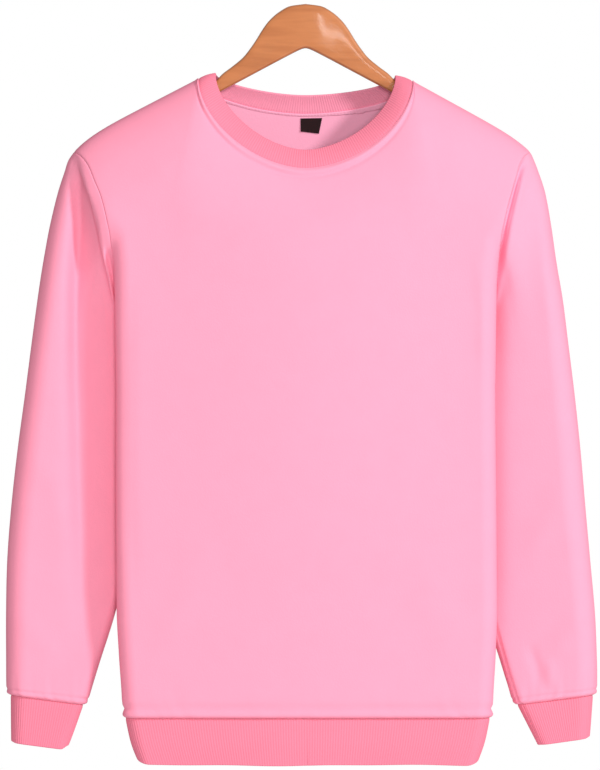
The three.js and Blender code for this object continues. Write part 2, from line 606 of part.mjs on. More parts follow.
function neckRib() {
  const frames = necklineFrames();
  const count = frames.length;
  const lengths = [0];
  for (let k = 1; k <= count; k += 1)
    lengths.push(lengths[k - 1] + frames[k % count].here.distanceTo(frames[k - 1].here));
  const total = lengths[count];
  const place = (f) => {
    const at = f * total;
    let k = 0;
    while (k < count - 1 && at > lengths[k + 1]) k += 1;
    return { k, share: (at - lengths[k]) / (lengths[k + 1] - lengths[k]) };
  };
  frames.forEach((frame, k) => {
    const along = frames[(k + 1) % count].here.clone().sub(frames[(k + count - 1) % count].here);
    frame.leave = along.cross(frame.outward).normalize();
  });
  const between = (k, share, pick) => pick(frames[k]).clone().lerp(pick(frames[(k + 1) % count]), share);
  const seamPoint = (f) => {
    const { k, share } = place(f);
    const leave = between(k, share, (frame) => frame.leave);
    const here = between(k, share, (frame) => frame.here).addScaledVector(leave, CURVED_GAP);
    return { here, outward: between(k, share, (frame) => frame.outward).normalize() };
  };
  const freeEdge = (f) => {
    const { k, share } = place(f);
    const turn = (frame) => (frame.face < 0 ? 90 - frame.angle : 270 + frame.angle);
    const [from, to] = [turn(frames[k]), k + 1 === count ? 360 : turn(frames[k + 1])];
    const angle = THREE.MathUtils.degToRad(lerp(from, to, share));
    const [across, toFront] = [Math.cos(angle), Math.sin(angle)];
    const power = 2 / NECK_EDGE.round;
    const depth = toFront > 0 ? NECK_EDGE.frontDepth : NECK_EDGE.backDepth;
    const stand = toFront > 0 ? -NECK_EDGE_STAND.front : NECK_EDGE_STAND.back;
    const raised = lift(Math.abs(across) * NECK_POINT.x, Math.sign(across));
    return vec(
      Math.sign(across) * NECK_EDGE.x * Math.abs(across) ** power,
      stand * Math.abs(toFront) ** 0.5,
      raised - NECK_EDGE.drop - depth * Math.abs(toFront) ** power,
    );
  };
  const ratio = 5;
  const ribs = Math.round(total / RIB_PITCH / ratio) * ratio;
  return ribbedBand("neck_rib", {
    surface: (t, f) => seamPoint(f).here.lerp(freeEdge(f), t),
    edgeNormal: (f) => seamPoint(f).outward,
    rows: [0, 1],
    ribs,
    ratio,
    facing: -1,
  });
}

function hemRib() {
  const sectionAt = (drop) => {
    const section = {};
    for (const name of ["edge", "cloth", "fold", "tuck", "crown"]) section[name] = column(HEM, name, drop);
    return section;
  };
  // f runs from the side seam at +X over the front to -X and back over the back.
  const surface = (t, f) => {
    const quarter = Math.floor(f * 4) % 4;
    const within = f * 4 - Math.floor(f * 4);
    const share = quarter % 2 === 0 ? 1 - within : within;
    const side = quarter === 0 || quarter === 3 ? 1 : -1;
    const face = quarter < 2 ? -1 : 1;
    const drop = lerp(HEM_SEAM_DROP + SEAM_GAP, HEM_DROP, t);
    const section = sectionAt(drop);
    const at = sectionPoint(section, closedDepth(section), share * section.cloth);
    const past = Math.min(Math.max(at.x - section.edge + section.fold, 0) / section.fold, 1);
    const raised = HEM_CORNER_LIFT * t ** 3 * (1 - Math.sqrt(1 - past * past));
    return vec(side * at.x + swing(drop), face * at.depth, raised - drop);
  };
  const flatNormal = (f) => {
    const step = 1e-3;
    const across = surface(0, (f + step) % 1).sub(surface(0, (f + 1 - step) % 1));
    return vec(-across.y, across.x, 0).normalize();
  };
  const ratio = 7;
  const length = 4 * column(HEM, "cloth", HEM_SEAM_DROP);
  return ribbedBand("hem_rib", {
    surface,
    edgeNormal: flatNormal,
    rows: [0, 1],
    ribs: Math.round(length / RIB_PITCH / ratio / 2) * ratio * 2,
    ratio,
    facing: 1,
  });
}

function cuff(name, side) {
  const sleeveEnd = SLEEVE[SLEEVE.length - 1];
  const { outer, axis, width } = ringEnds(sleeveEnd, side);
  const down = vec(side * axis.z, 0, -side * axis.x);
  if (down.z > 0) down.negate();
  const shift = width * CUFF_INSET;
  const start = { ...sleeveEnd, outR: sleeveEnd.outR - shift, inR: sleeveEnd.inR - shift };
  const ringAt = (t) => {
    const row = {};
    for (const key of Object.keys(CUFF_END)) row[key] = lerp(start[key], CUFF_END[key], t);
    return { ...row, sag: t * CUFF_SAG };
  };
  const surface = (t, f) => {
    const share = f * 2;
    const { point } = ringPoint(ringAt(t), side, share);
    if (t > 0) return point;
    const loop = loopPoint(width - 2 * shift, start.outR, start.inR, share <= 1 ? share : 2 - share);
    return outer
      .clone()
      .addScaledVector(axis, loop.along + shift)
      .addScaledVector(down, SEAM_GAP)
      .add(vec(0, (share <= 1 ? -1 : 1) * loop.half, 0));
  };
  const ratio = 4;
  const length = 2 * (width + 0.57 * (start.outR + start.inR));
  return ribbedBand(name, {
    surface,
    edgeNormal: (f) => ringPoint(sleeveEnd, side, f * 2).normal,
    rows: [0, 1],
    ribs: Math.round(length / RIB_PITCH / ratio) * ratio,
    ratio,
    facing: side,
  });
}

// The neck label, laid against the inside of the back just below its neck seam.
function sizeLabel() {
  const backInside = (drop) => {
    const rise = (UNDERARM_DROP - drop) / (UNDERARM_DROP - NECK_POINT.drop - BACK_NECK_DEPTH);
    const row = lerp(UNDERARM_DROP, SHOULDER_DROP, rise);
    return bodyPoint(0, row, 1, 1).y - FLEECE / bodyNormal(0, row, 1, 1).y;
  };
  const grid = (offset) =>
    Array.from({ length: LABEL.rows }, (_, i) =>
      Array.from({ length: LABEL.columns }, (_unused, j) => {
        const [up, across] = [i / (LABEL.rows - 1), j / (LABEL.columns - 1)];
        const edge = (ends, name) => lerp(ends[0][name], ends[1][name], across);
        const x = lerp(edge(LABEL_BOTTOM, "x"), edge(LABEL_TOP, "x"), up);
        const drop = lerp(edge(LABEL_BOTTOM, "drop"), edge(LABEL_TOP, "drop"), up);
        return vec(x, backInside(drop) - SEAM_GAP - offset, -drop);
      }),
    );
  return solid("size_label", wallTriangles(grid(LABEL.thickness), grid(0), false), colours.label);
}

// The hanger: a flat board with rounded edges, its arms just under the shoulder seams.
function hanger() {
  const armTop = (x, side) => ridgeDrop(x, side) + HANGER.clearance;
  const upper = (side) => {
    const crown = HANGER_CROWN.map(({ x, drop }) => new THREE.Vector2(side * x, -drop));
    const points = new THREE.SplineCurve(crown).getPoints(20);
    for (const x of [130, 150, 170, 188]) points.push(new THREE.Vector2(side * x, -armTop(x, side)));
    return points;
  };
  const lowerDrop = (x) => HANGER.throat + HANGER.lowerSlope * x;
  const tip = (side) => {
    const x = HANGER.reach;
    const [top, bottom] = [armTop(x - 6, side), lowerDrop(x - 4)];
    const radius = (bottom - top) / 2;
    return [-0.95, -0.4, 0.25, 0.9].map((height) => {
      const out = Math.sqrt(1 - height * height) * 7;
      return new THREE.Vector2(side * (x - 7 + out), -((top + bottom) / 2 + height * radius));
    });
  };
  const outline = [
    ...upper(1).slice(1),
    ...tip(1),
    new THREE.Vector2(185, -lowerDrop(185)),
    new THREE.Vector2(0, -HANGER.throat),
    new THREE.Vector2(-185, -lowerDrop(185)),
    ...tip(-1).reverse(),
    ...upper(-1).reverse(),
  ];
  const { thickness, bevel } = HANGER;
  const board = new THREE.ExtrudeGeometry(new THREE.Shape(outline), {
    depth: thickness - 2 * bevel,
    bevelEnabled: true,
    bevelThickness: bevel,
    bevelSize: bevel,
    bevelOffset: -bevel,
    bevelSegments: 2,
    steps: 1,
  });
  board.translate(0, 0, -(thickness - 2 * bevel) / 2);
  board.rotateX(Math.PI / 2);
  board.deleteAttribute("normal");
  board.deleteAttribute("uv");
  const mesh = new THREE.Mesh(mergeVertices(board, 1e-4), new THREE.MeshStandardMaterial(colours.wood));
  mesh.name = "hanger";
  return mesh;
}

const sweatshirt = new THREE.Group();
sweatshirt.add(
  panel("front", -1),
  panel("back", 1),
  sleeve("sleeve_left", 1),
  sleeve("sleeve_right", -1),
  neckRib(),
  hemRib(),
  cuff("cuff_left", 1),
  cuff("cuff_right", -1),
  sizeLabel(),
  hanger(),
);

export default sweatshirt;
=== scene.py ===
# A crewneck sweatshirt of brushed fleece with ribbed collar, cuffs and hem, hanging on a
# lacquered wooden hanger. Tables are in millimetres, with heights as drops below the hanger's
# crown. Left and right are the wearer's, the front faces -Y, and front and back meet at Y = 0.
import math

import bpy
import numpy as np
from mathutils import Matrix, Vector


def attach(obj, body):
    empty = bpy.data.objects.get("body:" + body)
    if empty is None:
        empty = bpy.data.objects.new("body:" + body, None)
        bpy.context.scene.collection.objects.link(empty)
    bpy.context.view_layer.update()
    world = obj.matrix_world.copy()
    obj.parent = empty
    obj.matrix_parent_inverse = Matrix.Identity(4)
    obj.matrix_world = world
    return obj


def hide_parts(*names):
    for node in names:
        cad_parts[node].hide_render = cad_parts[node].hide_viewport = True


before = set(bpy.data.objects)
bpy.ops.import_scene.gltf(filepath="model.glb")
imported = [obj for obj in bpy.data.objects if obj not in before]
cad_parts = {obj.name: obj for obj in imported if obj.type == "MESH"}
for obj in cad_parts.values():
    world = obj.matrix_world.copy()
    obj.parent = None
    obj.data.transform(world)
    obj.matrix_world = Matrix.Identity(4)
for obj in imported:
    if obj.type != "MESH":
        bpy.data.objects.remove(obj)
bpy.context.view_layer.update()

# The camera stands straight in front, 6 m away, and aims at the middle of the picture. One
# millimetre of cloth is one pixel.
CAMERA_DISTANCE, SENSOR_HEIGHT = 6.0, 24.0
IMAGE_CENTRE = Vector((-0.0055, 0.0, -0.381))
IMAGE_HEIGHT = 0.770


def placed(name, data):
    """An object in the scene that shows this data."""
    made = bpy.data.objects.new(name, data)
    bpy.context.scene.collection.objects.link(made)
    return made


camera_data = bpy.data.cameras.new("camera")
camera_data.sensor_fit = "VERTICAL"
camera_data.sensor_height = SENSOR_HEIGHT
camera_data.lens = SENSOR_HEIGHT * CAMERA_DISTANCE / IMAGE_HEIGHT
camera_data.clip_end = 50.0
camera = placed("camera", camera_data)
camera.location = IMAGE_CENTRE + Vector((0.0, -CAMERA_DISTANCE, 0.0))
camera.rotation_euler = (math.pi / 2, 0.0, 0.0)
bpy.context.scene.camera = camera

# Front and back: two panels of fleece, 2.2 mm thick, joined at the shoulders and sides. Their inside
# is paler, partly the brushed face's own colour and partly painted light for light through the thin
# cloth. The sides fold back and in, which makes the sleeves' tucks.
FLEECE_THICKNESS = 2.2
NECK_X, NECK_DROP = 107.0, 77.0
SHOULDER_DROP, UNDERARM_DROP, HEM_SEAM_DROP, HEM_DROP = 148.0, 381.0, 712.0, 759.5
FRONT_NECK_DEPTH, BACK_NECK_DEPTH, NECKLINE_ROUND = 88.3, 31.0, 1.8
SHOULDER_ROUNDING, SHOULDER_SQUARE = 120.0, 2.4
FOLD_SPLAY, BACK_FULLNESS = 0.12, 0.94
HEM_SWING, SHOULDER_LIFT, PANEL_GAP = 2.2, 2.4, 0.05
HALF_SHOULDERS, SHOULDER_SHIFT, SHOULDER_FALL, TIP_FALL, BACK_RISE = 228.0, 3.5, 64.5, 6.5, 28.5

# drop, edge of the side fold, cloth to the seam, fold and tuck radii, share of the chest's
# depth, crown at the centre, extra length at the wearer's right shoulder, inset to the rib
BODY = np.array([
    (148, 262, 228, 16, 2, 0.78, 4, 3.5, 0),
    (153, 246, 221, 16, 2, 0.8, 4.5, 3, 0),
    (162, 236, 215, 16, 2, 0.84, 5, 2, 0),
    (177, 227.5, 209.5, 16, 2, 0.9, 6, 1, 0),
    (194, 217.3, 203.5, 16, 2, 0.95, 7, 0, 0),
    (216, 208, 198.1, 16, 2, 0.99, 8, 0, 0),
    (233, 199.2, 195.8, 16, 2, 1, 8, 0, 0),
    (250, 193, 197.9, 16, 2, 1, 8, 0, 0),
    (272, 191, 203.3, 16, 2, 1, 8, 0, 0),
    (296, 190.3, 215.1, 16, 2, 1, 8, 0, 0),
    (330, 189.8, 233, 16, 2, 1, 8, 0, 0),
    (360, 189.4, 251.5, 16, 2.2, 1, 8, 0, 0),
    (374, 189.2, 260.5, 16, 3.5, 1, 8, 0, 0),
    (379, 189.1, 263.8, 16, 6, 1, 8, 0, 0),
    (381, 189, 265, 16, 9.5, 1, 8, 0, 0),
    (500, 189.5, 264.5, 16, 9.5, 1, 6, 0, 0),
    (600, 189.5, 262, 16, 9.5, 1, 4, 0, 0),
    (650, 187.5, 260, 16, 9.5, 1, 3, 0, 0),
    (690, 185, 257, 16, 9.5, 1, 2.5, 0, 0),
    (703, 184.6, 253, 16, 9.5, 1, 2.5, 0, 0),
    (709.5, 184.2, 249, 16, 9.5, 1, 2, 0, 0.9),
    (712, 183.6, 247, 16, 9.5, 1, 2, 0, 2.8),
])
NECK_ANGLES = np.array([0, 17, 34, 50, 64, 76, 84, 90.0])
LOW_SHARES = np.array([0, 0.16, 0.3, 0.42, 0.52, 0.59, 0.635, 0.665, 0.695, 0.73, 0.765, 0.8, 0.84, 0.92, 1])
SHARE_PLACES = np.linspace(0, 1, len(LOW_SHARES))
NECK_PLACE = 0.5


def by_drop(table, column, at):
    """A column of a table at any drop: a cubic through its rows whose tangents are the harmonic
    mean of the slopes on both sides, so that it never overshoots."""
    drops, values = table[:, 0], table[:, column]
    widths = np.diff(drops)
    slopes = np.diff(values) / widths
    tangents = np.zeros_like(values)
    product = slopes[:-1] * slopes[1:]
    total = np.where(product > 0, slopes[:-1] + slopes[1:], 1.0)
    tangents[1:-1] = np.where(product > 0, 2 * product / total, 0.0)
    tangents[0], tangents[-1] = slopes[0], slopes[-1]
    at = np.clip(at, drops[0], drops[-1])
    k = np.clip(np.searchsorted(drops, at, "right") - 1, 0, len(widths) - 1)
    w = widths[k]
    t = (at - drops[k]) / w
    return (
        (2 * t**3 - 3 * t**2 + 1) * values[k]
        + (t**3 - 2 * t**2 + t) * w * tangents[k]
        + (3 * t**2 - 2 * t**3) * values[k + 1]
        + (t**3 - t**2) * w * tangents[k + 1]
    )


def smoothly(x, low, high):
    """0 below low, 1 above high and 3t^2 - 2t^3 between them."""
    t = np.clip((x - low) / (high - low), 0.0, 1.0)
    return t * t * (3 - 2 * t)


def bell(x, centre, width):
    """e^(-((x - centre) / width)^2): 1 at the centre, soft on both sides."""
    return np.exp(-(((x - centre) / width) ** 2))


def running(points, axis=0):
    """Length run through at each point of lines of points along an axis, from 0."""
    steps = np.linalg.norm(np.diff(points, axis=axis), axis=-1)
    return np.concatenate([np.zeros_like(np.take(steps, [0], axis)), np.cumsum(steps, axis)], axis)


def turns(edge, cloth, fold, tuck):
    """How far the side folds round and the straight run behind it: the cloth beyond the flat
    front goes once round the fold, and what is left over runs back and turns out at the tuck."""
    spare = cloth - (edge - fold)
    full = math.pi - FOLD_SPLAY
    quarter = math.pi / 2
    beyond = (spare + tuck * quarter) / (fold + tuck)
    turn = np.where(spare <= fold * quarter, np.maximum(spare / fold, 0), beyond)
    run = np.where(turn > full, spare - fold * full - tuck * (full - quarter), 0.0)
    return np.minimum(turn, full), run


def closed_depth(edge, cloth, fold, tuck):
    """Depth of the flat front at which the folded side comes back to Y = 0."""
    turn, run = turns(edge, cloth, fold, tuck)
    return fold - (fold + tuck) * np.cos(turn) + run * np.sin(turn)


def across(p, edge, cloth, fold, tuck, crown):
    """x, depth lost and heading at p along the cloth: straight, an arc of radius fold, a straight
    run and an arc of radius tuck the other way. The crown adds (1 - (p / flat)^2)^2 of itself."""
    turn, run = turns(edge, cloth, fold, tuck)
    flat = edge - fold
    heading = np.clip((p - flat) / fold, 0, turn)
    straight = np.clip(p - flat - fold * turn, 0, run)
    back = np.maximum(p - flat - fold * turn - run, 0) / tuck
    x = np.minimum(p, flat) + fold * np.sin(heading) + straight * np.cos(turn)
    x = x + tuck * (np.sin(turn) - np.sin(turn - back))
    lost = fold * (1 - np.cos(heading)) + straight * np.sin(turn)
    lost = lost + tuck * (np.cos(turn - back) - np.cos(turn))
    bulge = crown * (1 - np.minimum(p / flat, 1) ** 2) ** 2
    return x, lost - bulge, heading - back


chest = [by_drop(BODY, k, UNDERARM_DROP) for k in (1, 2, 3, 4)]
CHEST_DEPTH = float(closed_depth(*chest))


def lifted(x, side):
    """The wearer's right shoulder sits higher by SHOULDER_LIFT, evenly from the neck point out."""
    return np.where(side < 0, SHOULDER_LIFT * (1 - (1 - np.minimum(x / NECK_X, 1) ** 2) ** 2), 0.0)


def reach(side):
    """Half width of the shoulders on a side."""
    return HALF_SHOULDERS - side * SHOULDER_SHIFT


def ridge(x, side):
    """Drop of the shoulder ridge: a line that turns down at the tip, and a parabola at the neck."""
    top = NECK_DROP - lifted(x, side)
    along = np.clip((x - NECK_X) / (reach(side) - NECK_X), 0, 1)
    outer = top + SHOULDER_FALL * along + (TIP_FALL + lifted(x, side)) * along**8
    return np.where(x < NECK_X, top - BACK_RISE * (1 - (x / NECK_X) ** 2), outer)


def rounded(x, drop, side):
    """Share of the depth below the ridge: a quarter of a superellipse."""
    t = np.clip((drop - ridge(x, side)) / SHOULDER_ROUNDING, 0, 1)
    return (1 - (1 - t) ** SHOULDER_SQUARE) ** (1 / SHOULDER_SQUARE)


def swung(drop):
    """How far the lower body has swung to the wearer's left."""
    return HEM_SWING * smoothly(drop, UNDERARM_DROP, HEM_DROP)


def top_edge(c, side, depth):
    """Neckline, a superellipse, up to c = 0.5, and from there the shoulder ridge."""
    angle = np.radians(np.interp(c * 14, np.arange(8), NECK_ANGLES))
    power = 2 / NECKLINE_ROUND
    neck_x = NECK_X * np.sin(angle) ** power
    neck_drop = NECK_DROP + depth * np.maximum(np.cos(angle), 0) ** power - lifted(neck_x, side)
    share = np.clip((c - NECK_PLACE) / (1 - NECK_PLACE), 0, 1)
    arm_x = NECK_X + (reach(side) - NECK_X) * share
    at_neck = c <= NECK_PLACE
    return np.where(at_neck, neck_x, arm_x), np.where(at_neck, neck_drop, ridge(arm_x, side))


def body_point(c, row, side, face):
    """A point of a panel's outer face. c runs from the centre (0) to the side (1) and row is the
    drop at the side. Above the underarm the cloth shrinks from the chest to the neckline or
    shoulder in a straight line, less the armhole's hollow near the side, and its depth goes by
    the row, but near the neck point evenly by the drop below the ridge."""
    c, row, side = np.broadcast_arrays(*(np.asarray(value, float) for value in (c, row, side)))
    edge, cloth, fold, tuck, _, crown, tip, inset = (by_drop(BODY, k, row) for k in range(1, 9))
    cloth = cloth - side * tip
    depth = closed_depth(edge, cloth, fold, tuck)
    low = np.interp(c, SHARE_PLACES, LOW_SHARES)
    rise = np.clip((UNDERARM_DROP - row) / (UNDERARM_DROP - SHOULDER_DROP), 0, 1)
    top_x, top_drop = top_edge(c, side, FRONT_NECK_DEPTH if face < 0 else BACK_NECK_DEPTH)
    chest_cloth = float(chest[1])
    dip = cloth - (chest_cloth + (reach(side) - chest_cloth) * rise)
    near = np.clip((c - NECK_PLACE) / (1 - NECK_PLACE), 0, 1) ** 1.5
    cut = low * chest_cloth * (1 - rise) + top_x * rise + near * dip
    x, lost, heading = across(np.where(rise > 0, cut, low * cloth), edge, cloth, fold, tuck, crown)
    drop = np.where(rise > 0, UNDERARM_DROP * (1 - rise) + top_drop * rise, row)
    even = (UNDERARM_DROP - drop) / (UNDERARM_DROP - ridge(x, side)) * (UNDERARM_DROP - SHOULDER_DROP)
    mix = smoothly(np.abs(c - NECK_PLACE), 0, np.where(c < NECK_PLACE, 0.3, 0.22))
    mixed = row * mix + (UNDERARM_DROP - even) * (1 - mix)
    depth = np.where(rise > 0, CHEST_DEPTH * by_drop(BODY, 5, mixed), depth)
    y = (depth - lost) * np.where(rise > 0, rounded(x, drop, side), 1.0)
    if face > 0:
        y = y * (1 + (BACK_FULLNESS - 1) * smoothly(1 - c, 0.35, 0.7))
    x = x - inset * np.sin(heading)
    y = y - inset * np.cos(heading)
    return np.stack([side * x + swung(drop), face * (y + PANEL_GAP), -drop], -1)


def unit(v):
    """Vectors at length 1."""
    return v / np.maximum(np.linalg.norm(v, axis=-1, keepdims=True), 1e-12)


def grid_normals(grid, ring=False):
    """Unit normals of a grid: the cross product of its differences along columns and rows."""
    if ring:
        along = np.roll(grid, -1, 1) - np.roll(grid, 1, 1)
    else:
        along = np.gradient(grid, axis=1)
    return unit(np.cross(along, np.gradient(grid, axis=0)))


def outline_distance(x, z, points):
    """Distance of (x, z) from a line of points, and how far along it the nearest place is, 0 to 1."""
    points = np.asarray(points, float)
    lengths = np.linalg.norm(np.diff(points, axis=0), axis=1)
    starts = running(points)
    best, place = np.full(x.shape, 1e9), np.zeros(x.shape)
    for (ax, az), (bx, bz), length, start in zip(points[:-1], points[1:], lengths, starts):
        t = np.clip(((x - ax) * (bx - ax) + (z - az) * (bz - az)) / length**2, 0, 1)
        d = np.hypot(x - ax - t * (bx - ax), z - az - t * (bz - az))
        closer = d < best
        best = np.where(closer, d, best)
        place = np.where(closer, (start + t * length) / starts[-1], place)
    return best, place


def creases(grid, lines):
    """Height of soft folds over a grid. Each is (points of x and drop, width, height, fade): a
    bell across its line, which fades in and out over the share `fade` of its length."""
    x, drop = grid[..., 0], -grid[..., 2]
    height = np.zeros(x.shape)
    for points, width, tall, fade in lines:
        distance, place = outline_distance(x, drop, points)
        ends = smoothly(place, 0, fade) * smoothly(1 - place, 0, fade)
        height += tall * bell(distance, 0, width) * ends
    return height


def welt(distance, puff, groove):
    """The allowance pressed under the cloth beside a seam: a puff, then a topstitched groove,
    each (height, distance from the seam, width)."""
    return puff[0] * bell(distance, *puff[1:]) - groove[0] * bell(distance, *groove[1:])


def fading(distance, height, reach, start=3):
    """Height of the puckers beside a seam: it rises over `start` and dies away as e^-(d / reach)."""
    return height * np.exp(-distance / reach) * smoothly(distance, 0, start)


def gathers(u, waves, seed):
    """Uneven waves along u: sines of neighbouring wavelengths with fixed phases, about -1 to 1."""
    phases = np.random.default_rng(seed).uniform(0, 2 * math.pi, len(waves))
    return sum(np.sin(2 * math.pi * u / wave + phase) for wave, phase in zip(waves, phases)) / len(waves)


def smooth_mesh(name, points, faces):
    """A smoothly shaded mesh."""
    mesh = bpy.data.meshes.new(name)
    mesh.from_pydata(points, [], faces)
    mesh.polygons.foreach_set("use_smooth", np.ones(len(faces), bool))
    return mesh


def cloth_piece(name, outer, inner, ring, uv, material, flip=False):
    """A closed shell from an outer and an inner grid of points in millimetres: a quad for each
    cell of both, and a strip of quads round each open edge. The faces point outwards where
    columns cross rows point outwards, and flip turns the columns round where they don't."""
    if flip:
        outer, inner, uv = outer[:, ::-1], inner[:, ::-1], uv[:, ::-1]
    rows, columns = outer.shape[:2]
    number = np.arange(rows * columns).reshape(rows, columns)
    if ring:
        number = np.concatenate([number, number[:, :1]], 1)
    a, b, c, d = number[:-1, :-1], number[:-1, 1:], number[1:, 1:], number[1:, :-1]
    face = np.stack([a, b, c, d], -1).reshape(-1, 4)
    shift = rows * columns
    edges = [(number[0, :-1], number[0, 1:]), (number[-1, 1:], number[-1, :-1])]
    if not ring:
        edges += [(number[1:, 0], number[:-1, 0]), (number[:-1, -1], number[1:, -1])]
    rims = [np.stack([q, p, p + shift, q + shift], -1) for p, q in edges]
    faces = np.concatenate([face, face[:, ::-1] + shift, *rims])
    points = np.concatenate([outer.reshape(-1, 3), inner.reshape(-1, 3)]) / 1000
    mesh = smooth_mesh(name, points, faces.tolist())
    layer = mesh.uv_layers.new(name="cloth")
    both = np.concatenate([uv.reshape(-1, 2)] * 2)
    loops = np.empty(len(mesh.loops), np.int32)
    mesh.loops.foreach_get("vertex_index", loops)
    layer.data.foreach_set("uv", (both[loops] / 1000).astype(np.float32).ravel())
    mesh.materials.append(material)
    mesh.update()
    return placed(name, mesh)


def face_inside(piece, cells, material):
    """Gives a shell's inner faces their own material: the second `cells` of its faces."""
    piece.data.materials.append(material)
    index = np.zeros(len(piece.data.polygons), np.int32)
    index[cells : 2 * cells] = 1
    piece.data.polygons.foreach_set("material_index", index)


def add_node(tree, kind, links=(), **values):
    """A node with its properties and inputs set, and links into its inputs by name or number."""
    node = tree.nodes.new(kind)
    for key, value in values.items():
        if key.startswith("in_"):
            node.inputs[key[3:].replace("_", " ")].default_value = value
        else:
            setattr(node, key, value)
    for socket, source in links:
        tree.links.new(source, node.inputs[socket])
    return node


def principled(name, **values):
    """A material, its node tree and its Principled shader with these inputs."""
    made = bpy.data.materials.new(name)
    made.use_nodes = True
    shader = made.node_tree.nodes["Principled BSDF"]
    for key, value in values.items():
        shader.inputs[key.replace("_", " ")].default_value = value
    return made, made.node_tree, shader


def bumped(tree, height, strength, distance, shader, socket):
    """Leads a height through a bump into one of the shader's normals."""
    raised = add_node(
        tree, "ShaderNodeBump", [("Height", height)], in_Strength=strength, in_Distance=distance
    )
    tree.links.new(raised.outputs["Normal"], shader.inputs[socket])


def maths(tree, operation, *terms):
    """The result of a Math node whose terms are sockets or numbers."""
    node = add_node(tree, "ShaderNodeMath", operation=operation)
    for socket, term in zip(node.inputs, terms):
        if isinstance(term, float):
            socket.default_value = term
        else:
            tree.links.new(term, socket)
    return node.outputs[0]


def noise(tree, vector, scale, detail):
    """A noise texture's value."""
    return add_node(
        tree, "ShaderNodeTexNoise", [("Vector", vector)], in_Scale=scale, in_Detail=detail
    ).outputs["Fac"]


MOTTLE, WALES_PER_METRE = 0.05, 1000.0


def pile_group():
    """The face of the fleece or rib knit: a soft mottle of the colour and a bump of short pile and of
    the knit's wales, which run up the cloth."""
    group = bpy.data.node_groups.new("knit pile", "ShaderNodeTree")
    for way, labels in (("INPUT", ("Colour", "Wale")), ("OUTPUT", ("Colour", "Height"))):
        for label, kind in zip(labels, ("Color", "Float")):
            group.interface.new_socket(name=label, in_out=way, socket_type="NodeSocket" + kind)
    given, out = group.nodes.new("NodeGroupInput"), group.nodes.new("NodeGroupOutput")
    place = add_node(group, "ShaderNodeTexCoord").outputs["Object"]
    cloth = add_node(group, "ShaderNodeUVMap", uv_map="cloth")
    broad, pile = noise(group, place, 45.0, 4.0), noise(group, place, 620.0, 3.0)
    split = add_node(group, "ShaderNodeSeparateXYZ", [("Vector", cloth.outputs["UV"])])
    count = maths(group, "MULTIPLY", split.outputs["X"], WALES_PER_METRE)
    wale = maths(group, "MULTIPLY", maths(group, "PINGPONG", count, 0.5), given.outputs["Wale"])
    height = maths(group, "ADD", pile, wale)
    centred = maths(group, "SUBTRACT", maths(group, "ADD", broad, pile), 1.0)
    tone = maths(group, "ADD", maths(group, "MULTIPLY", centred, MOTTLE), 1.0)
    shades = [(0, given.outputs["Colour"]), (1, tone)]
    colour = add_node(group, "ShaderNodeVectorMath", shades, operation="MULTIPLY")
    group.links.new(colour.outputs[0], out.inputs["Colour"])
    group.links.new(height, out.inputs["Height"])
    return group


def knit_material(name, colour, wale, bump):
    """Matt knit with a little sheen from its loose fibres."""
    sheen = {"Sheen_Weight": 0.08, "Sheen_Roughness": 0.6, "Sheen_Tint": (*colour, 1)}
    material, tree, shader = principled(name, Roughness=0.95, Specular_IOR_Level=0.15, **sheen)
    face = add_node(tree, "ShaderNodeGroup", node_tree=knit_pile)
    face.inputs["Colour"].default_value = (*colour, 1)
    face.inputs["Wale"].default_value = wale
    tree.links.new(face.outputs["Colour"], shader.inputs["Base Color"])
    bumped(tree, face.outputs["Height"], bump, 0.0004, shader, "Normal")
    return material


knit_pile = pile_group()
fleece = knit_material("pink fleece", (0.93, 0.312, 0.434), 0.35, 0.35)
# Inside colour: partly the brushed face's own paler colour, partly painted light for light through the
# cloth.
inside_brushed_and_painted_light = knit_material("paler fleece inside, partly painted light", (0.94, 0.40, 0.55), 0.0, 0.35)

# Columns from the centre to the side, closer together at the neck point and the side fold, and
# rows from the hem up, closer together at the hem, underarm and shoulder.
half = np.unique(np.concatenate([np.linspace(0, 0.5, 41), np.linspace(0.5, 1, 70)]))
panel_rows = np.concatenate([
    [712, 711.5, 711, 710.3, 709.5, 708, 706, 703, 699, 694],
    np.arange(689, 384, -5.0),
    [383, 381, 380, 379, 377.5, 376, 374, 371, 368],
    np.arange(364, 170, -3.6),
    [167, 164, 161.5, 159.5, 157.5, 156, 154.5, 153.2, 152, 151, 150.2, 149.6, 149.1, 148.7],
    [148.4, 148.2, 148.08, 148.02, 148],
])
NECK_WELT = (1.9, 4.2, 2.8), (1.5, 9.0, 2.2)
HEM_WELT = (1.3, 3.0, 2.6), (2.4, 9.0, 3.0)
SEAM_DEEP, SEAM_WIDE = 0.35, 1.1
HEM_PUCKER, NECK_RIPPLE, RIPPLE_REACH = (0.55, 16.0), 0.25, 9.0
FRONT_FOLDS = [
    # the soft crease inside the left edge of the picture, and the roll of the edge beside it
    ([(-177, 250), (-178, 400), (-177, 500), (-172, 620)], 9, -1.8, 0.3),
    ([(170, 240), (176, 300), (177, 380)], 7, 1.0, 0.3),
    # slack below the collar and drag lines from the shoulders
    ([(-150, 150), (-120, 200), (-80, 235)], 22, 1.2, 0.4),
    ([(150, 150), (128, 200), (95, 240)], 22, 1.0, 0.4),
    ([(-60, 250), (-20, 262), (40, 255)], 26, 0.8, 0.4),
    # broad slack across the lower body
    ([(-150, 560), (-60, 590), (60, 580), (150, 600)], 30, -1.2, 0.35),
    ([(-165, 660), (-120, 600), (-95, 520)], 20, 1.0, 0.4),
    ([(165, 670), (130, 610), (115, 540)], 20, 1.1, 0.4),
]
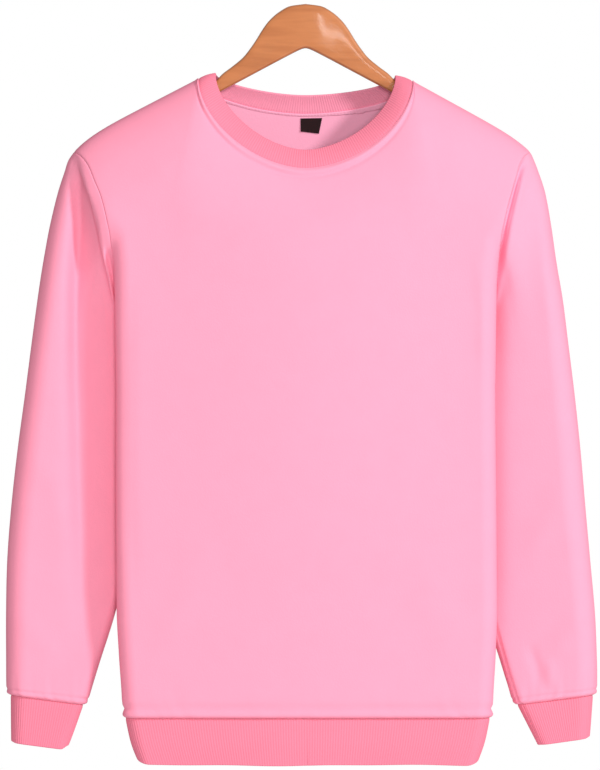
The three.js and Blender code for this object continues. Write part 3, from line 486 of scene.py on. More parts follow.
BACK_FOLDS = [
    ([(-176, 300), (-178, 420), (-176, 560)], 6, -1.4, 0.25),
    ([(176, 320), (178, 450), (175, 620)], 5, -1.5, 0.25),
    ([(-140, 170), (-90, 205), (-20, 215)], 24, 1.4, 0.4),
    ([(140, 168), (95, 208), (30, 220)], 24, 1.3, 0.4),
    ([(-150, 600), (-40, 575), (80, 600), (150, 580)], 30, -1.3, 0.35),
]


def side_folded(name, face, folds):
    """A panel: the body's outer face over both halves, raised beside the neckline, drawn in at
    the seams, gathered at the hem and creased, with its inner face one thickness behind."""
    c = np.concatenate([half[:0:-1], half])
    side = np.concatenate([-np.ones(len(half) - 1), np.ones(len(half))])
    if face > 0:
        c, side = c[::-1], side[::-1]
    grid = body_point(c, panel_rows[:, None], side, face)
    normal = grid_normals(grid)
    normal[0, :, 2] = 0
    on_ridge = (c >= NECK_PLACE) & (panel_rows == SHOULDER_DROP)[:, None]
    normal[on_ridge, 1] = 0
    normal = unit(normal)
    from_top = running(grid[::-1])[::-1]
    run = running(grid, 1)
    from_side = np.minimum(run, run[:, -1:] - run)
    from_hem = HEM_SEAM_DROP - panel_rows[:, None]
    at_neck = smoothly(0.52 - c, 0, 0.04)
    uneven = 0.75 + 0.25 * gathers(run, [61, 97, 143], 5 + face)
    turned = (welt(from_top, *NECK_WELT) * at_neck + welt(from_hem, *HEM_WELT)) * uneven
    seam = SEAM_DEEP * (bell(from_top, 0, SEAM_WIDE) + bell(from_side, 0, SEAM_WIDE))
    drawn = fading(from_hem, *HEM_PUCKER) * gathers(run, [17, 23, 31, 13], 3 + face)
    ripple = NECK_RIPPLE * gathers(run, [9, 13, 7], 11 + face) * np.exp(-from_top / RIPPLE_REACH) * at_neck
    raised = turned - seam + drawn + ripple
    raised += creases(grid, folds) * smoothly(from_side, 0, 12) * smoothly(from_top, 0, 25)
    outer = grid + normal * raised[..., None]
    inner = grid - normal * FLEECE_THICKNESS
    uv = np.stack([run, -grid[..., 2]], -1)
    piece = cloth_piece(name, outer, inner, False, uv, fleece)
    # The inner faces take the paler inside colour, which is partly painted light.
    face_inside(piece, (grid.shape[0] - 1) * (grid.shape[1] - 1), inside_brushed_and_painted_light)
    return piece


front = side_folded("sweatshirt_front", -1, FRONT_FOLDS)
back = side_folded("sweatshirt_back", 1, BACK_FOLDS)
for piece, node, area in ((front, "front", 0.25), (back, "back", 0.262)):
    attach(piece, "root")
    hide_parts(node)

# Sleeves: one tube of fleece each, closed by a single seam under the arm, set into the armhole
# and hanging in the side tuck. It is drawn in where the cuff is sewn on.
# Rings from the shoulder to the cuff: outer x and drop, inner x and drop, radii of the two
# round ends, share of the armhole's own shape, and the leans of the two ends to one side.
SLEEVE = np.array([
    (237, 168, 143, 384, 12, 4.5, 0.7, 4, 0),
    (244, 190, 144.3, 386, 15, 5, 0.48, 4, 0),
    (250.6, 222, 144.8, 389, 18, 5, 0.3, 5, 0),
    (256.3, 258, 145.3, 393, 20, 5, 0.16, 5.5, 0),
    (262.5, 296, 146, 399, 21, 5.2, 0.06, 5.2, 0),
    (268.5, 341, 147.5, 409, 21, 5.5, 0, 5.5, 0),
    (275, 392, 150.5, 428, 21, 6, 0, 5.7, 0.5),
    (281.5, 446, 156, 462, 21, 6.5, 0, 6.5, 1.5),
    (287, 502, 165, 510, 21, 7, 0, 7.2, 2.5),
    (291.5, 556, 174, 560, 20.5, 8, 0, 6.8, 4),
    (294.5, 610, 186, 612, 20, 9.5, 0, 5, 5),
    (295.4, 655, 200.3, 658, 19.5, 12, 0, 4, 5.3),
    (295.4, 677, 208.2, 684, 19, 13, 0, 3.8, 5.3),
    (294.8, 686, 211.8, 695, 18.5, 13.5, 0, 3.7, 5.3),
    (292.4, 690.3, 215.4, 700.3, 16, 12, 0, 3.6, 5.2),
])
SLEEVE_LEAVE, ARMHOLE_GAP = {1: 0.1, -1: 0.45}, 0.1
BACKWARDS = np.array([0, 1.0, 0])


def armhole(row, side, face):
    """The armhole seam: its points, the cloth's outward normal and the way out into the sleeve,
    from small differences along the seam and across it."""
    here = body_point(1.0, row, side, face)
    up = body_point(1.0, np.maximum(row - 0.02, SHOULDER_DROP), side, face)
    down = body_point(1.0, np.minimum(row + 0.02, UNDERARM_DROP), side, face)
    along = unit(up - down)
    sideways = unit(here - body_point(1.0 - 1e-4, row, side, face))
    normal = unit(np.cross(along, sideways)) * side * face
    leave = unit(np.cross(normal, along))
    leave = leave * np.where((leave * sideways).sum(-1, keepdims=True) < 0, -1, 1)
    return here, normal, leave


def armhole_ring(side, rows):
    """The whole seam as a closed ring, down the front and up the back, with the share of its
    length: 0 at the shoulder, 1 under the arm and 2 at the shoulder again."""
    joined = []
    for a, b in zip(armhole(rows, side, -1), armhole(rows, side, 1)):
        ends = (a[[0, -1]] + b[[0, -1]]) / 2
        ends[:, 1] = 0
        joined.append(np.concatenate([ends[:1], a[1:-1], ends[1:], b[-2:0:-1]]))
    here, normal, leave = joined[0], unit(joined[1]), unit(joined[2])
    lengths = running(here[: len(rows)])
    shares = lengths / lengths[-1]
    around = np.concatenate([shares, 2 - shares[-2:0:-1]])
    return here, normal, leave, around


def flat_loop(width, outer_r, inner_r, share):
    """Half of a flat loop with two round ends, by share of its length from the outer tip: the
    distance from the tip and the half thickness."""
    between = width - outer_r - inner_r
    lean = math.asin((outer_r - inner_r) / between)
    turn = math.pi / 2 + lean
    first, middle = outer_r * turn, between * math.cos(lean)
    at = share * (first + middle + inner_r * (math.pi - turn))
    a1 = np.minimum(at / outer_r, turn)
    run = np.clip(at - first, 0, middle)
    a2 = turn + np.maximum(at - first - middle, 0) / inner_r
    on_end = at >= first + middle
    along = outer_r - outer_r * np.cos(a1) + run * math.cos(lean)
    thick = outer_r * np.sin(a1) - run * math.sin(lean)
    along = np.where(on_end, width - inner_r - inner_r * np.cos(a2), along)
    return along, np.where(on_end, inner_r * np.sin(a2), thick)


def tips(row, side, sag=0.0):
    """Outer tip of a table row's flat loop, its width and the direction to its inner tip."""
    outer = np.array([side * row[0] - row[7], 0, side * sag - row[1]])
    inner = np.array([side * row[2] - row[8], 0, side * sag - row[3]])
    width = np.linalg.norm(inner - outer)
    return outer, width, (inner - outer) / width


def loop_points(outer, axis, width, radii, around, shift=0.0):
    """A flat loop laid along the axis from the outer tip, `shift` in from both tips."""
    face = np.where(around <= 1, -1.0, 1.0)
    along, thick = flat_loop(width - 2 * shift, *radii, np.where(around <= 1, around, 2 - around))
    return outer + axis * (along + shift)[:, None] + BACKWARDS * (face * thick)[:, None]


def sleeve_ring(row, side, around, sag=0.0):
    """A ring of the sleeve or cuff."""
    outer, width, axis = tips(row, side, sag)
    return loop_points(outer, axis, width, row[4:6], around)


def through(rows, at):
    """A smooth surface through rows of points (Catmull-Rom), at fractional row numbers."""
    k = np.clip(np.floor(at).astype(int), 0, len(rows) - 2)
    t = (at - k)[:, None, None]
    before = np.where((k > 0)[:, None, None], rows[np.maximum(k - 1, 0)], 2 * rows[k] - rows[k + 1])
    last = k + 2 > len(rows) - 1
    after = np.where(last[:, None, None], 2 * rows[k + 1] - rows[k], rows[np.minimum(k + 2, len(rows) - 1)])
    a, b = rows[k], rows[k + 1]
    square, cube = 2 * before - 5 * a + 4 * b - after, 3 * a - before - 3 * b + after
    return 0.5 * (2 * a + (b - before) * t + square * t**2 + cube * t**3)


armhole_rows = np.concatenate([
    [148, 148.1, 148.4, 149, 150, 151.5, 153.5, 156, 159], np.arange(162, 366, 3.4),
    [368, 370.5, 372.5, 374, 375.2, 376.2, 377, 377.8, 378.5, 379.1, 379.6, 380, 380.4, 380.7, 381],
])
sleeve_steps = np.concatenate([
    [0, 0.12, 0.3, 0.55, 0.8], np.arange(1, 2, 0.25), np.arange(2, 13, 0.11),
    np.linspace(13, 15.8, 21), [15.88, 15.95, 16],
])
LEFT_SLEEVE_FOLDS = [
    # seen at the right: slack at the shoulder and the elbow
    ([(228, 180), (238, 260), (246, 340)], 11, 1.2, 0.35),
    ([(268, 470), (240, 520), (215, 560)], 13, 1.2, 0.35),
    ([(282, 600), (255, 640), (235, 650)], 12, 1.2, 0.35),
    ([(222, 636), (231, 664), (234, 686)], 6, -1.6, 0.35),
    ([(243, 652), (246, 686)], 6, 1.3, 0.35),
]
RIGHT_SLEEVE_FOLDS = [
    ([(-234, 200), (-236, 300), (-238, 450), (-240, 600)], 30, 2.2, 0.2),
    # seen at the left: slack at the elbow and the forearm
    ([(-270, 430), (-245, 500), (-235, 560)], 14, 1.4, 0.35),
    ([(-284, 610), (-262, 640), (-240, 655)], 12, 1.3, 0.35),
]
CUFF_WELT, CUFF_PUCKER = ((0.8, 2.6, 2.2), (0.9, 6.4, 1.5)), (0.7, 14.0)
UNDERARM_SEAM_DEEP, UNDERARM_SEAM_WIDE, UNDERARM_SEAM_SHIFT = 1.5, 0.9, {1: 11.5, -1: 0.6}
# The dip of each sleeve beside the body. At the picture's right it lies against the body, by
# drop: its depth and how far it reaches out. At its left it is a trough behind a strip of the
# sleeve head, by drop: its border and its valley in x, its depth at both and its far wall.
LEFT_DIP = np.array([
    (150, 0, 8), (158, 5, 8), (166, 10, 8), (185, 14, 9), (230, 15, 14), (262, 12, 15), (300, 6.5, 13),
    (420, 4, 11), (560, 3.5, 11), (640, 1.5, 10),
])
RIGHT_DIP = np.array([
    (156, 226, 230, 1, 3, 4), (176, 221.5, 229.5, 2, 7, 4), (196, 215, 229, 3, 9.5, 4.5),
    (221, 209, 228.5, 4.5, 13.5, 5.5), (251, 202, 228.5, 7, 18, 6.5), (280, 195, 228, 7, 19, 8),
    (310, 189, 227, 6, 18, 9), (380, 184, 225, 4.5, 15.5, 11), (480, 182, 222, 4, 11.5, 12),
    (580, 184, 218, 2.5, 6.5, 14), (650, 190, 216, 0, 0, 14),
])


def dip(grid, side, from_seam):
    """Depth of the dip: deepest against the body and easing outwards at the picture's right,
    sloping down to a valley with a soft wall beyond it at its left."""
    x, drop = side * grid[..., 0], -grid[..., 2]
    eased = smoothly(drop, SHOULDER_DROP, 162)
    if side > 0:
        deep, reach_out = (np.interp(drop, LEFT_DIP[:, 0], column) for column in LEFT_DIP.T[1:])
        tucked = np.maximum(x - 184, 0)
        lower = smoothly(drop, 235, 290)
        out = from_seam * (1 - lower) + tucked * lower
        return deep * bell(np.maximum(out - 1, 0), 0, reach_out) * eased
    low, high, step, deep, wall = (np.interp(drop, RIGHT_DIP[:, 0], column) for column in RIGHT_DIP.T[1:])
    way = (x - low) / (high - low)
    down = step * (1 - np.exp(-np.maximum(way, 0) / 0.12))
    down = down + (deep - step) * np.clip((way - 0.25) / 0.75, 0, 1) ** 1.2
    return down * bell(np.maximum(x - high, 0), 0, wall) * eased


def sleeve_piece(name, side, folds):
    """A sleeve: the armhole ring, a curved step out of it, then the table's rings, with a smooth
    surface through them all, creased, gathered above the cuff and drawn in at the seams."""
    here, normal, leave, around = armhole_ring(side, armhole_rows)
    underarm = len(armhole_rows) - 1
    chord = here[underarm] - here[0]
    rings = []
    for row in SLEEVE:
        point = sleeve_ring(row, side, around)
        along = ((here - here[0]) @ chord) / (chord @ chord)
        bow = here - here[0] - along[:, None] * chord
        bow[:, 1] = 0
        point = point + bow * row[6]
        point[:, 1] = point[:, 1] + (here[:, 1] - point[:, 1]) * row[6]
        rings.append(point)
    seam = here + leave * ARMHOLE_GAP
    first_step = np.linalg.norm(rings[0] - seam, axis=1, keepdims=True)
    control = seam + leave * first_step * SLEEVE_LEAVE[side]
    step = 0.25 * seam + 0.5 * control + 0.25 * rings[0]
    grid = through(np.stack([seam, step, *rings]), sleeve_steps)
    out = grid_normals(grid, True) * side
    out[0] = normal
    lengths = running(grid)
    from_cuff = lengths[-1:] - lengths
    run = running(np.concatenate([grid, grid[:, :1]], 1), 1)[:, :-1]
    uneven = 0.75 + 0.25 * gathers(run, [31, 47, 71], 31 + side)
    head = SEAM_DEEP * (1.0 if side < 0 else smoothly(grid[..., 2], -185, -165))
    seam_line = -head * bell(lengths, 0, SEAM_WIDE) - SEAM_DEEP * bell(from_cuff, 0, SEAM_WIDE)
    seam_line = seam_line + welt(from_cuff, *CUFF_WELT) * uneven
    from_tip = run[:, underarm : underarm + 1] - run
    underarm_seam = bell(from_tip, UNDERARM_SEAM_SHIFT[side], UNDERARM_SEAM_WIDE) * smoothly(lengths, 4, 30)
    seam_line = seam_line - UNDERARM_SEAM_DEEP * underarm_seam
    drawn = fading(from_cuff, *CUFF_PUCKER) * gathers(run, [13, 17, 23, 9], 21 + side)
    in_front = smoothly(-grid[..., 1], 0, 6)
    sunk = dip(grid, side, lengths) * smoothly(lengths, 0, 1.8 if side > 0 else 4) * in_front
    inward = BACKWARDS if side > 0 else -out
    hung = grid + out * (drawn + creases(grid, folds) * smoothly(lengths, 2, 18) * in_front)[..., None]
    hung = hung + inward * sunk[..., None]
    outer = hung + out * seam_line[..., None]
    inner = hung - out * FLEECE_THICKNESS
    uv = np.stack([run, -lengths], -1)
    piece = cloth_piece(name, outer, inner, True, uv, fleece, side < 0)
    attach(piece, "root")
    return piece


sleeve_left = sleeve_piece("sweatshirt_sleeve_left", 1, LEFT_SLEEVE_FOLDS)
sleeve_right = sleeve_piece("sweatshirt_sleeve_right", -1, RIGHT_SLEEVE_FOLDS)
for piece, node in ((sleeve_left, "sleeve_left"), (sleeve_right, "sleeve_right")):
    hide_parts(node)

# Ribs: collar, hem and cuffs are bands of doubled 1x1 rib knit. Their free edge is a fold, and
# the ribs run from the seam to that fold on both faces.
RIB_PITCH, RIB_HEIGHT, RIB_THICKNESS, RIB_TUCKED, RIB_COLUMNS = 2.65, 0.32, 2.6, 1.2, 8
rib_knit = knit_material("pink rib", (0.80, 0.212, 0.300), 0.0, 0.3)


def band_normals(surface, t, f):
    """Normals of a surface(t, f) from small differences."""
    step = 1e-3
    sideways = surface(t, f + step) - surface(t, f - step)
    low, high = np.clip(t - step, 0, 1), np.clip(t + step, 0, 1)
    return unit(np.cross(sideways, surface(high, f) - surface(low, f)))


def rib_band(name, surface, width, ribs, outward, columns=RIB_COLUMNS, belly=0.0, seam_at=None):
    """A band of rib: surface(t, f) gives its outer face from the seam (t = 0) to the fold (t = 1).
    It starts RIB_TUCKED beyond the seam, sunk under the cloth there, has a ridge for each rib on both
    faces and a half circle at the fold. columns of points are spent on each rib. seam_at is the
    place round the band where its ends are sewn together."""
    count = ribs * columns
    f = np.arange(count) / count
    half_thick = RIB_THICKNESS / 2
    end = half_thick / width
    t = np.concatenate([
        [-RIB_TUCKED / width, 0, 0.6 / width, 1.4 / width], np.linspace(3 / width, 1 - end, 11),
        1 - end * np.array([0.8, 0.6, 0.4, 0.22, 0.1, 0.03, 0]),
    ])
    cap = np.sqrt(1 - np.clip((t - (1 - end)) / end, 0, 1) ** 2)
    grid, out = surface(t, f), band_normals(surface, t, f) * outward
    sunk = RIB_HEIGHT * (0.5 - 0.5 * np.cos(2 * math.pi * f * ribs))
    sunk = sunk + (0.9 * smoothly(-t * width, -2.4, 0.6))[:, None]
    if seam_at is not None:
        sunk = sunk + 0.9 * bell((f - seam_at) * ribs * RIB_PITCH, 0, 0.8)
    swell = belly * np.sin(math.pi * np.minimum(t * 1.05, 1))[:, None]
    core = grid - out * half_thick + out * swell[..., None]
    outer = core + out * ((half_thick - sunk) * cap[:, None])[..., None]
    inner = core - out * ((half_thick - sunk * 0.8) * cap[:, None])[..., None]
    lengths = running(grid.mean(1))
    uv = np.stack(np.broadcast_arrays(f * ribs * RIB_PITCH, -lengths[:, None]), -1)
    piece = cloth_piece(name, outer, inner, True, uv, rib_knit, outward < 0)
    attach(piece, "root")
    return piece


# The collar stands up from the neckline and leans in: its seam lies on the panels' neckline and
# its fold on a smaller superellipse that passes over the hanger.
COLLAR_X, COLLAR_DROP, COLLAR_ROUND = 89.8, 71.0, 1.75
COLLAR_FRONT, COLLAR_BACK, STAND_FRONT, STAND_BACK = 75.4, 18.5, 29.0, 27.0
COLLAR_WIDTH = 23.0


def neckline(phi):
    """Neckline seam at angle phi: 0 at the wearer's left neck point and 90 degrees at the front."""
    sideways, forwards = np.cos(phi), np.sin(phi)
    side = np.where(sideways >= 0, 1.0, -1.0)
    angle = np.degrees(np.arcsin(np.clip(np.abs(sideways), 0, 1)))
    c = np.interp(angle, NECK_ANGLES, np.arange(8)) / 14
    seam_front = body_point(c, SHOULDER_DROP, side, -1)
    seam_back = body_point(c, SHOULDER_DROP, side, 1)
    return np.where((forwards > 0)[..., None], seam_front, seam_back)


seam_angles = np.linspace(0, 2 * math.pi, 1441)
seam_lengths = running(neckline(seam_angles))


def collar(t, f):
    """From the neckline seam to the fold in straight lines, evenly spaced along the seam."""
    phi = np.interp((f % 1.0) * seam_lengths[-1], seam_lengths, seam_angles)
    sideways, forwards = np.cos(phi), np.sin(phi)
    power = 2 / COLLAR_ROUND
    deep = np.where(forwards > 0, COLLAR_FRONT, COLLAR_BACK)
    stand = np.where(forwards > 0, -STAND_FRONT, STAND_BACK)
    wide = np.abs(sideways)
    fold = np.stack([
        np.sign(sideways) * COLLAR_X * wide**power,
        stand * np.sqrt(np.abs(forwards)),
        lifted(wide * NECK_X, np.sign(sideways)) - COLLAR_DROP - deep * np.abs(forwards) ** power,
    ], -1)
    seam = neckline(phi)
    return seam[None] + (fold - seam)[None] * np.asarray(t)[:, None, None]


collar_ribs = round(seam_lengths[-1] / RIB_PITCH)
neck_rib = rib_band("sweatshirt_collar", collar, COLLAR_WIDTH, collar_ribs, -1, belly=0.9)
# The collar's inner face is paler than the rib outside: painted light, standing in for light scattered
# inside the neck through the thin cloth.
rib_inside_painted_light = knit_material("rib inside, painted light", (0.84, 0.275, 0.385), 0.0, 0.3)
face_inside(neck_rib, len(neck_rib.data.vertices) // 2 - collar_ribs * RIB_COLUMNS, rib_inside_painted_light)
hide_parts("neck_rib")

# Inside the back of the neck the raw edges of the panel and the collar are overlocked together
# and pressed down: a narrow strip of fleece that thins out towards the shoulders.
ALLOWANCE_POINTS, ALLOWANCE_STEP, OVERLOCK_PITCH = 361, 0.72, 2.9
angles = np.linspace(math.pi * 1.02, math.pi * 1.98, ALLOWANCE_POINTS)
side = np.where(np.cos(angles) >= 0, 1.0, -1.0)
places = np.interp(np.degrees(np.arcsin(np.abs(np.cos(angles)))), NECK_ANGLES, np.arange(8)) / 14
depths = np.linspace(-1.0, 1.0, 13)
along = np.arange(ALLOWANCE_POINTS) * ALLOWANCE_STEP
plump = smoothly(np.cos(angles), 0.1, 0.75)
width = 2.6 + 3.0 * plump + (0.3 + 0.5 * plump) * gathers(along, [11, 17, 29, 5], 41)
shares = np.maximum(depths, 0)[:, None]
allowance_grid = body_point(places, SHOULDER_DROP + shares * width / 1.22, side, 1)
allowance_normal = grid_normals(allowance_grid)
allowance_normal = allowance_normal * np.sign(allowance_normal[..., 1:2])
allowance_grid[..., 2] -= np.minimum(depths, 0)[:, None]
loops = 0.16 * np.sin(2 * math.pi * along / OVERLOCK_PITCH) * np.sin(math.pi * shares)
lying = FLEECE_THICKNESS + 0.05 + 0.3 * bell(shares * width, 0, 1.5)
lying = lying + 0.15 * plump * (1 + gathers(along, [19, 31, 13], 43))
thickness = (0.45 + 0.6 * plump + loops) * (1 - 0.85 * shares**6)
allowance_out = allowance_grid - allowance_normal * (lying + thickness)[..., None]
allowance_in = allowance_grid - allowance_normal * lying[..., None]
uv = np.stack(np.broadcast_arrays(along, -depths[:, None]), -1)
# The strip takes the paler inside colour, which is partly painted light.
allowance = cloth_piece("neck_seam_allowance", allowance_out, allowance_in, False, uv, inside_brushed_and_painted_light)
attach(allowance, "root")

# The hem band is sewn on below the front and back. It continues the body's section and draws
# it in a little towards its fold.
HEM = np.array([
    (712, 181.6, 242, 14, 9, 2),
    (735, 177, 235, 14, 9, 1.5),
    (759.5, 170, 224, 13, 9, 1),
])
HEM_WIDTH, HEM_CORNER_LIFT = 47.0, 6.0


def hem_band(t, f):
    """The folded section round the body at each drop, from the side seam at +X over the front."""
    f, t = np.asarray(f) % 1.0, np.asarray(t)[:, None]
    quarter = np.floor(f * 4).astype(int) % 4
    within = f * 4 - np.floor(f * 4)
    share = np.where(quarter % 2 == 0, 1 - within, within)
    side = np.where((quarter == 0) | (quarter == 3), 1.0, -1.0)
    face = np.where(quarter < 2, -1.0, 1.0)
    drop = HEM_SEAM_DROP + (HEM_DROP - HEM_SEAM_DROP) * t
    edge, cloth, fold, tuck, crown = (by_drop(HEM, k, drop) for k in range(1, 6))
    x, lost, heading = across(share * cloth, edge, cloth, fold, tuck, crown)
    depth = closed_depth(edge, cloth, fold, tuck) - lost
    past = np.clip((x - edge + fold) / fold, 0, 1)
    lift = HEM_CORNER_LIFT * (1 - np.sqrt(1 - past**2))
    wavy = 0.6 * t**2 * np.sin(x / 31.0 + 1.3) + 0.4 * t**2 * np.sin(x / 17.0 + side)
    lift = lift + 0.45 * np.sin(side * x / 37.0 - 0.6) + 0.3 * np.sin(side * x / 15.0 + 0.4) + 0.2
    return np.stack([side * x + swung(drop), face * (depth + wavy), t**3 * lift - drop], -1)


hem_length = 4 * HEM[0, 2]
hem_ribs = round(hem_length / RIB_PITCH / 4) * 4
hem_rib = rib_band("sweatshirt_hem", hem_band, HEM_WIDTH, hem_ribs, 1, columns=6)
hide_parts("hem_rib")

# The cuffs are sewn on where the sleeves end. Each starts just inside its sleeve's last ring
# and has its own seam by the inner edge.
CUFF_END = np.array([289.5, 736, 235, 743.5, 13, 11.5, 0, 5, 2.6])
CUFF_WIDTH, CUFF_SAG, CUFF_INSET = 46.0, 2.3, 0.016


def cuff_piece(name, side, lifts, seam_shift):
    """A cuff between a ring just inside the sleeve's end and its own fold. lifts round off its
    outer and inner corner, and seam_shift is how far its seam lies in front of the inner edge."""
    outer, width, axis = tips(SLEEVE[-1], side)
    down = np.array([side * axis[2], 0, -side * axis[0]])
    down = -down if down[2] > 0 else down
    shift = width * CUFF_INSET
    radii = SLEEVE[-1, 4:6] - shift

    def band(t, f):
        around = (np.asarray(f) % 1.0) * 2
        seam = loop_points(outer, axis, width, radii, around, shift)
        end = sleeve_ring(CUFF_END, side, around, CUFF_SAG)
        chord = end[int(np.argmin(np.abs(around - 1)))] - end[0]
        across_it = ((end - end[0]) @ chord) / (chord**2).sum()
        corner = lifts[0] * smoothly(0.12 - across_it, 0, 0.12) ** 2
        corner = corner + lifts[1] * smoothly(across_it, 0.86, 1) ** 2
        t = np.asarray(t)[:, None, None]
        return seam[None] + (end - seam)[None] * t - down * corner[:, None] * t**4

    length = 2 * (width + 0.57 * radii.sum())
    ribs, seam_at = round(length / RIB_PITCH), 0.5 - seam_shift / length
    piece = rib_band(name, band, CUFF_WIDTH, ribs, side, seam_at=seam_at)
    return piece


cuff_left = cuff_piece("sweatshirt_cuff_left", 1, (1.2, 0.0), 11.0)
cuff_right = cuff_piece("sweatshirt_cuff_right", -1, (1.0, 4.0), 1.0)
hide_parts("cuff_left")
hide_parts("cuff_right")

# The neck label: a bare strip of dark woven tape, sewn in under the collar seam at its top edge
# and lying against the inside of the back.
LABEL_TOP, LABEL_BOTTOM = ((-5, 113), (16.8, 112.6)), ((-4.8, 126), (13.5, 128.2))
LABEL_THICKNESS, LABEL_SEAT = 0.6, 0.3


def back_inside(drop):
    """Y of the inside of the back at the centre, between its neckline and the underarm."""
    top = NECK_DROP + BACK_NECK_DEPTH
    row = UNDERARM_DROP + (SHOULDER_DROP - UNDERARM_DROP) * (UNDERARM_DROP - drop) / (UNDERARM_DROP - top)
    return body_point(0.0, row, 1.0, 1)[..., 1] - FLEECE_THICKNESS - LABEL_SEAT


up, over = np.meshgrid(np.linspace(0, 1, 27), np.linspace(0, 1, 33), indexing="ij")
(x1, d1), (x2, d2) = LABEL_BOTTOM
(x3, d3), (x4, d4) = LABEL_TOP
label_x = (x1 + (x2 - x1) * over) * (1 - up) + (x3 + (x4 - x3) * over) * up
label_drop = (d1 + (d2 - d1) * over) * (1 - up) + (d3 + (d4 - d3) * over) * up
curl = 0.5 * (1 - up) ** 2 * (0.4 + 0.6 * np.cos(math.pi * over) ** 2)
label_back = np.stack([label_x, back_inside(label_drop) - curl, -label_drop], -1)
label_front = label_back - np.array([0, LABEL_THICKNESS, 0])
uv = np.stack([label_x, -label_drop], -1)
tape, tree, shader = principled(
    "dark tape", Base_Color=(0.021, 0.009, 0.010, 1), Roughness=0.8, Specular_IOR_Level=0.2
)
place = [("Vector", add_node(tree, "ShaderNodeUVMap", uv_map="cloth").outputs["UV"])]
weave = add_node(tree, "ShaderNodeTexWave", place, in_Scale=600.0, in_Distortion=0.6, bands_direction="Y")
bumped(tree, weave.outputs["Fac"], 0.25, 0.0002, shader, "Normal")
label = cloth_piece("sweatshirt_label", label_front, label_back, False, uv, tape)
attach(label, "root")
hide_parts("size_label")

# The hanger: a board 11 mm thick with rounded edges, whose upper edge swells to the crown and
# then follows the shoulder seams. It is stained wood under clear lacquer.
HANGER_UPPER = np.array([
    (0, 0), (14.9, 2), (26.4, 8), (36.6, 17), (43.3, 26), (49, 35.3), (54.9, 44), (62, 53),
    (72.5, 62), (82.5, 69.5), (91, 77.5), (108, 84.5),
])
HANGER_THICKNESS, HANGER_EDGE, HANGER_REACH, HANGER_CLEARANCE = 11.0, 4.2, 203.0, 4.4
HANGER_THROAT, HANGER_SLOPE, CROWN_FULLNESS, CROWN_WIDTH = 43.0, 0.536, 1.2, 30.0
THROAT_ROUND, HANGER_TIP, CORNER_SHARE = 4.0, 8.0, 0.35

beyond = np.array([120.0, 140, 160, 180, 195, 203])
hanger_x = HANGER_REACH * np.sin(np.linspace(-math.pi / 2, math.pi / 2, 421))
hanger_sides = []
for side in (-1, 1):
    arm = np.stack([beyond, ridge(beyond, side) + HANGER_CLEARANCE], -1)
    hanger_sides.append(by_drop(np.concatenate([HANGER_UPPER, arm]), 1, np.abs(hanger_x)))
upper_drop = np.where(hanger_x < 0, hanger_sides[0], hanger_sides[1])
lower_drop = HANGER_THROAT + HANGER_SLOPE * (np.sqrt(hanger_x**2 + THROAT_ROUND**2) - 1.5)
to_tip = np.clip((np.abs(hanger_x) - (HANGER_REACH - HANGER_TIP)) / HANGER_TIP, 0, 1)
tip_height = np.sqrt(np.maximum(1 - to_tip**2, 1e-4))
middle_drop = (upper_drop + lower_drop) / 2
half_height = (lower_drop - upper_drop) / 2 * tip_height
corner_z = np.minimum(HANGER_EDGE, half_height)[:, None]
theta = np.linspace(0, 2 * math.pi, 56, endpoint=False)[None, :]
crowned = CROWN_FULLNESS * bell(hanger_x, 0, CROWN_WIDTH)
half_thick = np.minimum(HANGER_THICKNESS / 2 + crowned, 0.7 + half_height)[:, None]
corner_y = np.minimum(corner_z, half_thick)
sy, sz = np.sin(theta), np.cos(theta)
flat_y = (half_thick - corner_y) * np.sign(sy) * smoothly(np.abs(sy), 0, CORNER_SHARE)
flat_z = (half_height[:, None] - corner_z) * np.sign(sz) * smoothly(np.abs(sz), 0, CORNER_SHARE)
hanger_z = flat_z + corner_z * sz - middle_drop[:, None]
hanger_grid = np.stack([hanger_x[:, None] + 0 * theta, flat_y + corner_y * sy, hanger_z], -1)
number = np.arange(hanger_grid[..., 0].size).reshape(hanger_grid.shape[:2])
beside = np.roll(number, -1, 1)
hanger_faces = np.stack([number[:-1], beside[:-1], beside[1:], number[1:]], -1).reshape(-1, 4).tolist()
hanger_faces += [number[0, ::-1].tolist(), number[-1].tolist()]
hanger_mesh = smooth_mesh("hanger_wood", hanger_grid.reshape(-1, 3) / 1000, hanger_faces)
hanger = placed("hanger_wood", hanger_mesh)

wood, tree, shader = principled("lacquered wood", Roughness=0.45, Coat_Weight=1.0, Coat_Roughness=0.07)
place = add_node(tree, "ShaderNodeTexCoord").outputs["Object"]
stretch = add_node(tree, "ShaderNodeMapping", [("Vector", place)], in_Scale=(6.0, 45.0, 45.0))
warp, fine = (noise(tree, stretch.outputs["Vector"], *values) for values in ((1.2, 3.0), (9.0, 5.0)))
band = maths(tree, "PINGPONG", maths(tree, "MULTIPLY", warp, 7.0), 1.0)
mixed = maths(tree, "ADD", band, fine)
tone = add_node(tree, "ShaderNodeMapRange", [("Value", mixed)], in_From_Min=0.2, in_From_Max=1.5)
grain = add_node(tree, "ShaderNodeValToRGB", [("Fac", tone.outputs["Result"])])
grain.color_ramp.elements[0].color = (0.40, 0.125, 0.036, 1)
grain.color_ramp.elements[1].color = (0.50, 0.170, 0.054, 1)
tree.links.new(grain.outputs["Color"], shader.inputs["Base Color"])
bumped(tree, noise(tree, place, 22.0, 0.0), 1.0, 0.00008, shader, "Coat Normal")
hanger.data.materials.append(wood)
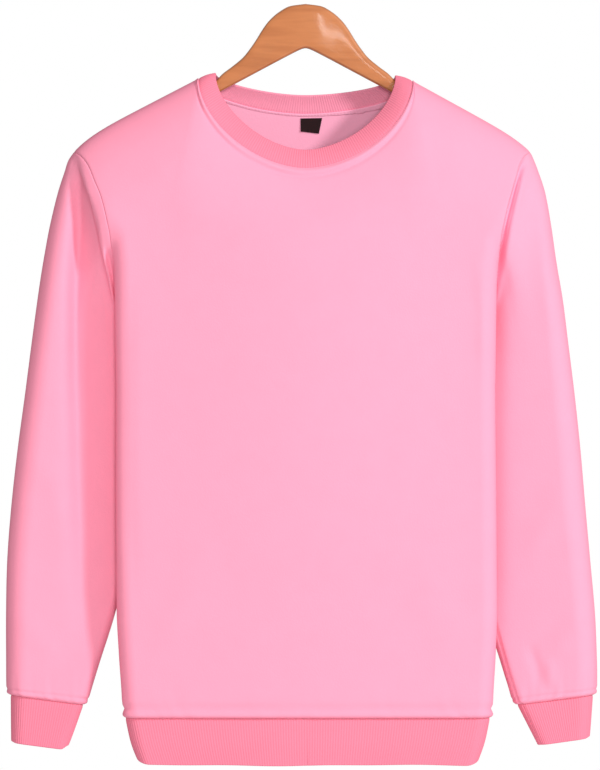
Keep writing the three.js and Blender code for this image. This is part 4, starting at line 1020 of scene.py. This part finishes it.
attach(hanger, "root")
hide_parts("hanger")

# Light and stage: a pale floor below, an even white surround, a soft key light from the front
# right of the picture, a fill from straight in front that leaves no gloss, and a narrow upright
# card whose reflection stands on the lacquered crown. The picture keeps plain colours.
world = bpy.data.worlds.new("studio")
world.use_nodes = True
tree = world.node_tree
dim = tree.nodes["Background"]
dim.inputs["Strength"].default_value = 0.35
bright = add_node(tree, "ShaderNodeBackground", in_Strength=1.0)
ray = add_node(tree, "ShaderNodeLightPath")
links = [(0, ray.outputs["Is Camera Ray"]), (1, dim.outputs[0]), (2, bright.outputs[0])]
either = add_node(tree, "ShaderNodeMixShader", links)
for source in (dim, bright):
    source.inputs["Color"].default_value = (1, 1, 1, 1)
tree.links.new(either.outputs[0], tree.nodes["World Output"].inputs["Surface"])
bpy.context.scene.world = world
bpy.context.scene.view_settings.view_transform = "Standard"


def soft_light(name, place, aim, size, share):
    """A round area light at a place in metres. share is the brightness that it gives to a white
    face turned to it, against 1 for the white background."""
    data = bpy.data.lights.new(name, "AREA")
    place, aim = Vector(place), Vector(aim)
    data.shape, data.size = "DISK", size
    data.energy = share * math.pi**2 * (aim - place).length_squared
    lamp = placed(name, data)
    lamp.location = place
    lamp.rotation_euler = (aim - place).to_track_quat("-Z", "Y").to_euler()
    return lamp


soft_light("key", (2.8, -2.7, 1.3), (0, 0, -0.35), 0.6, 0.7)
soft_light("fill", (0.2, -4.4, 0.0), (0, 0, -0.35), 1.0, 0.5).visible_glossy = False
card = soft_light("card", (0.31, -4.0, 0.15), (0.02, 0, -0.03), 0.6, 0.005)
card.data.shape, card.data.size, card.data.size_y = "RECTANGLE", 0.035, 0.6

floor_mesh = bpy.data.meshes.new("floor")
floor_mesh.from_pydata([(-2, -2, -1), (2, -2, -1), (2, 2, -1), (-2, 2, -1)], [], [(0, 1, 2, 3)])
floor = placed("floor", floor_mesh)
pale, _, _ = principled("pale floor", Base_Color=(0.86, 0.86, 0.86, 1), Roughness=0.9)
floor.data.materials.append(pale)
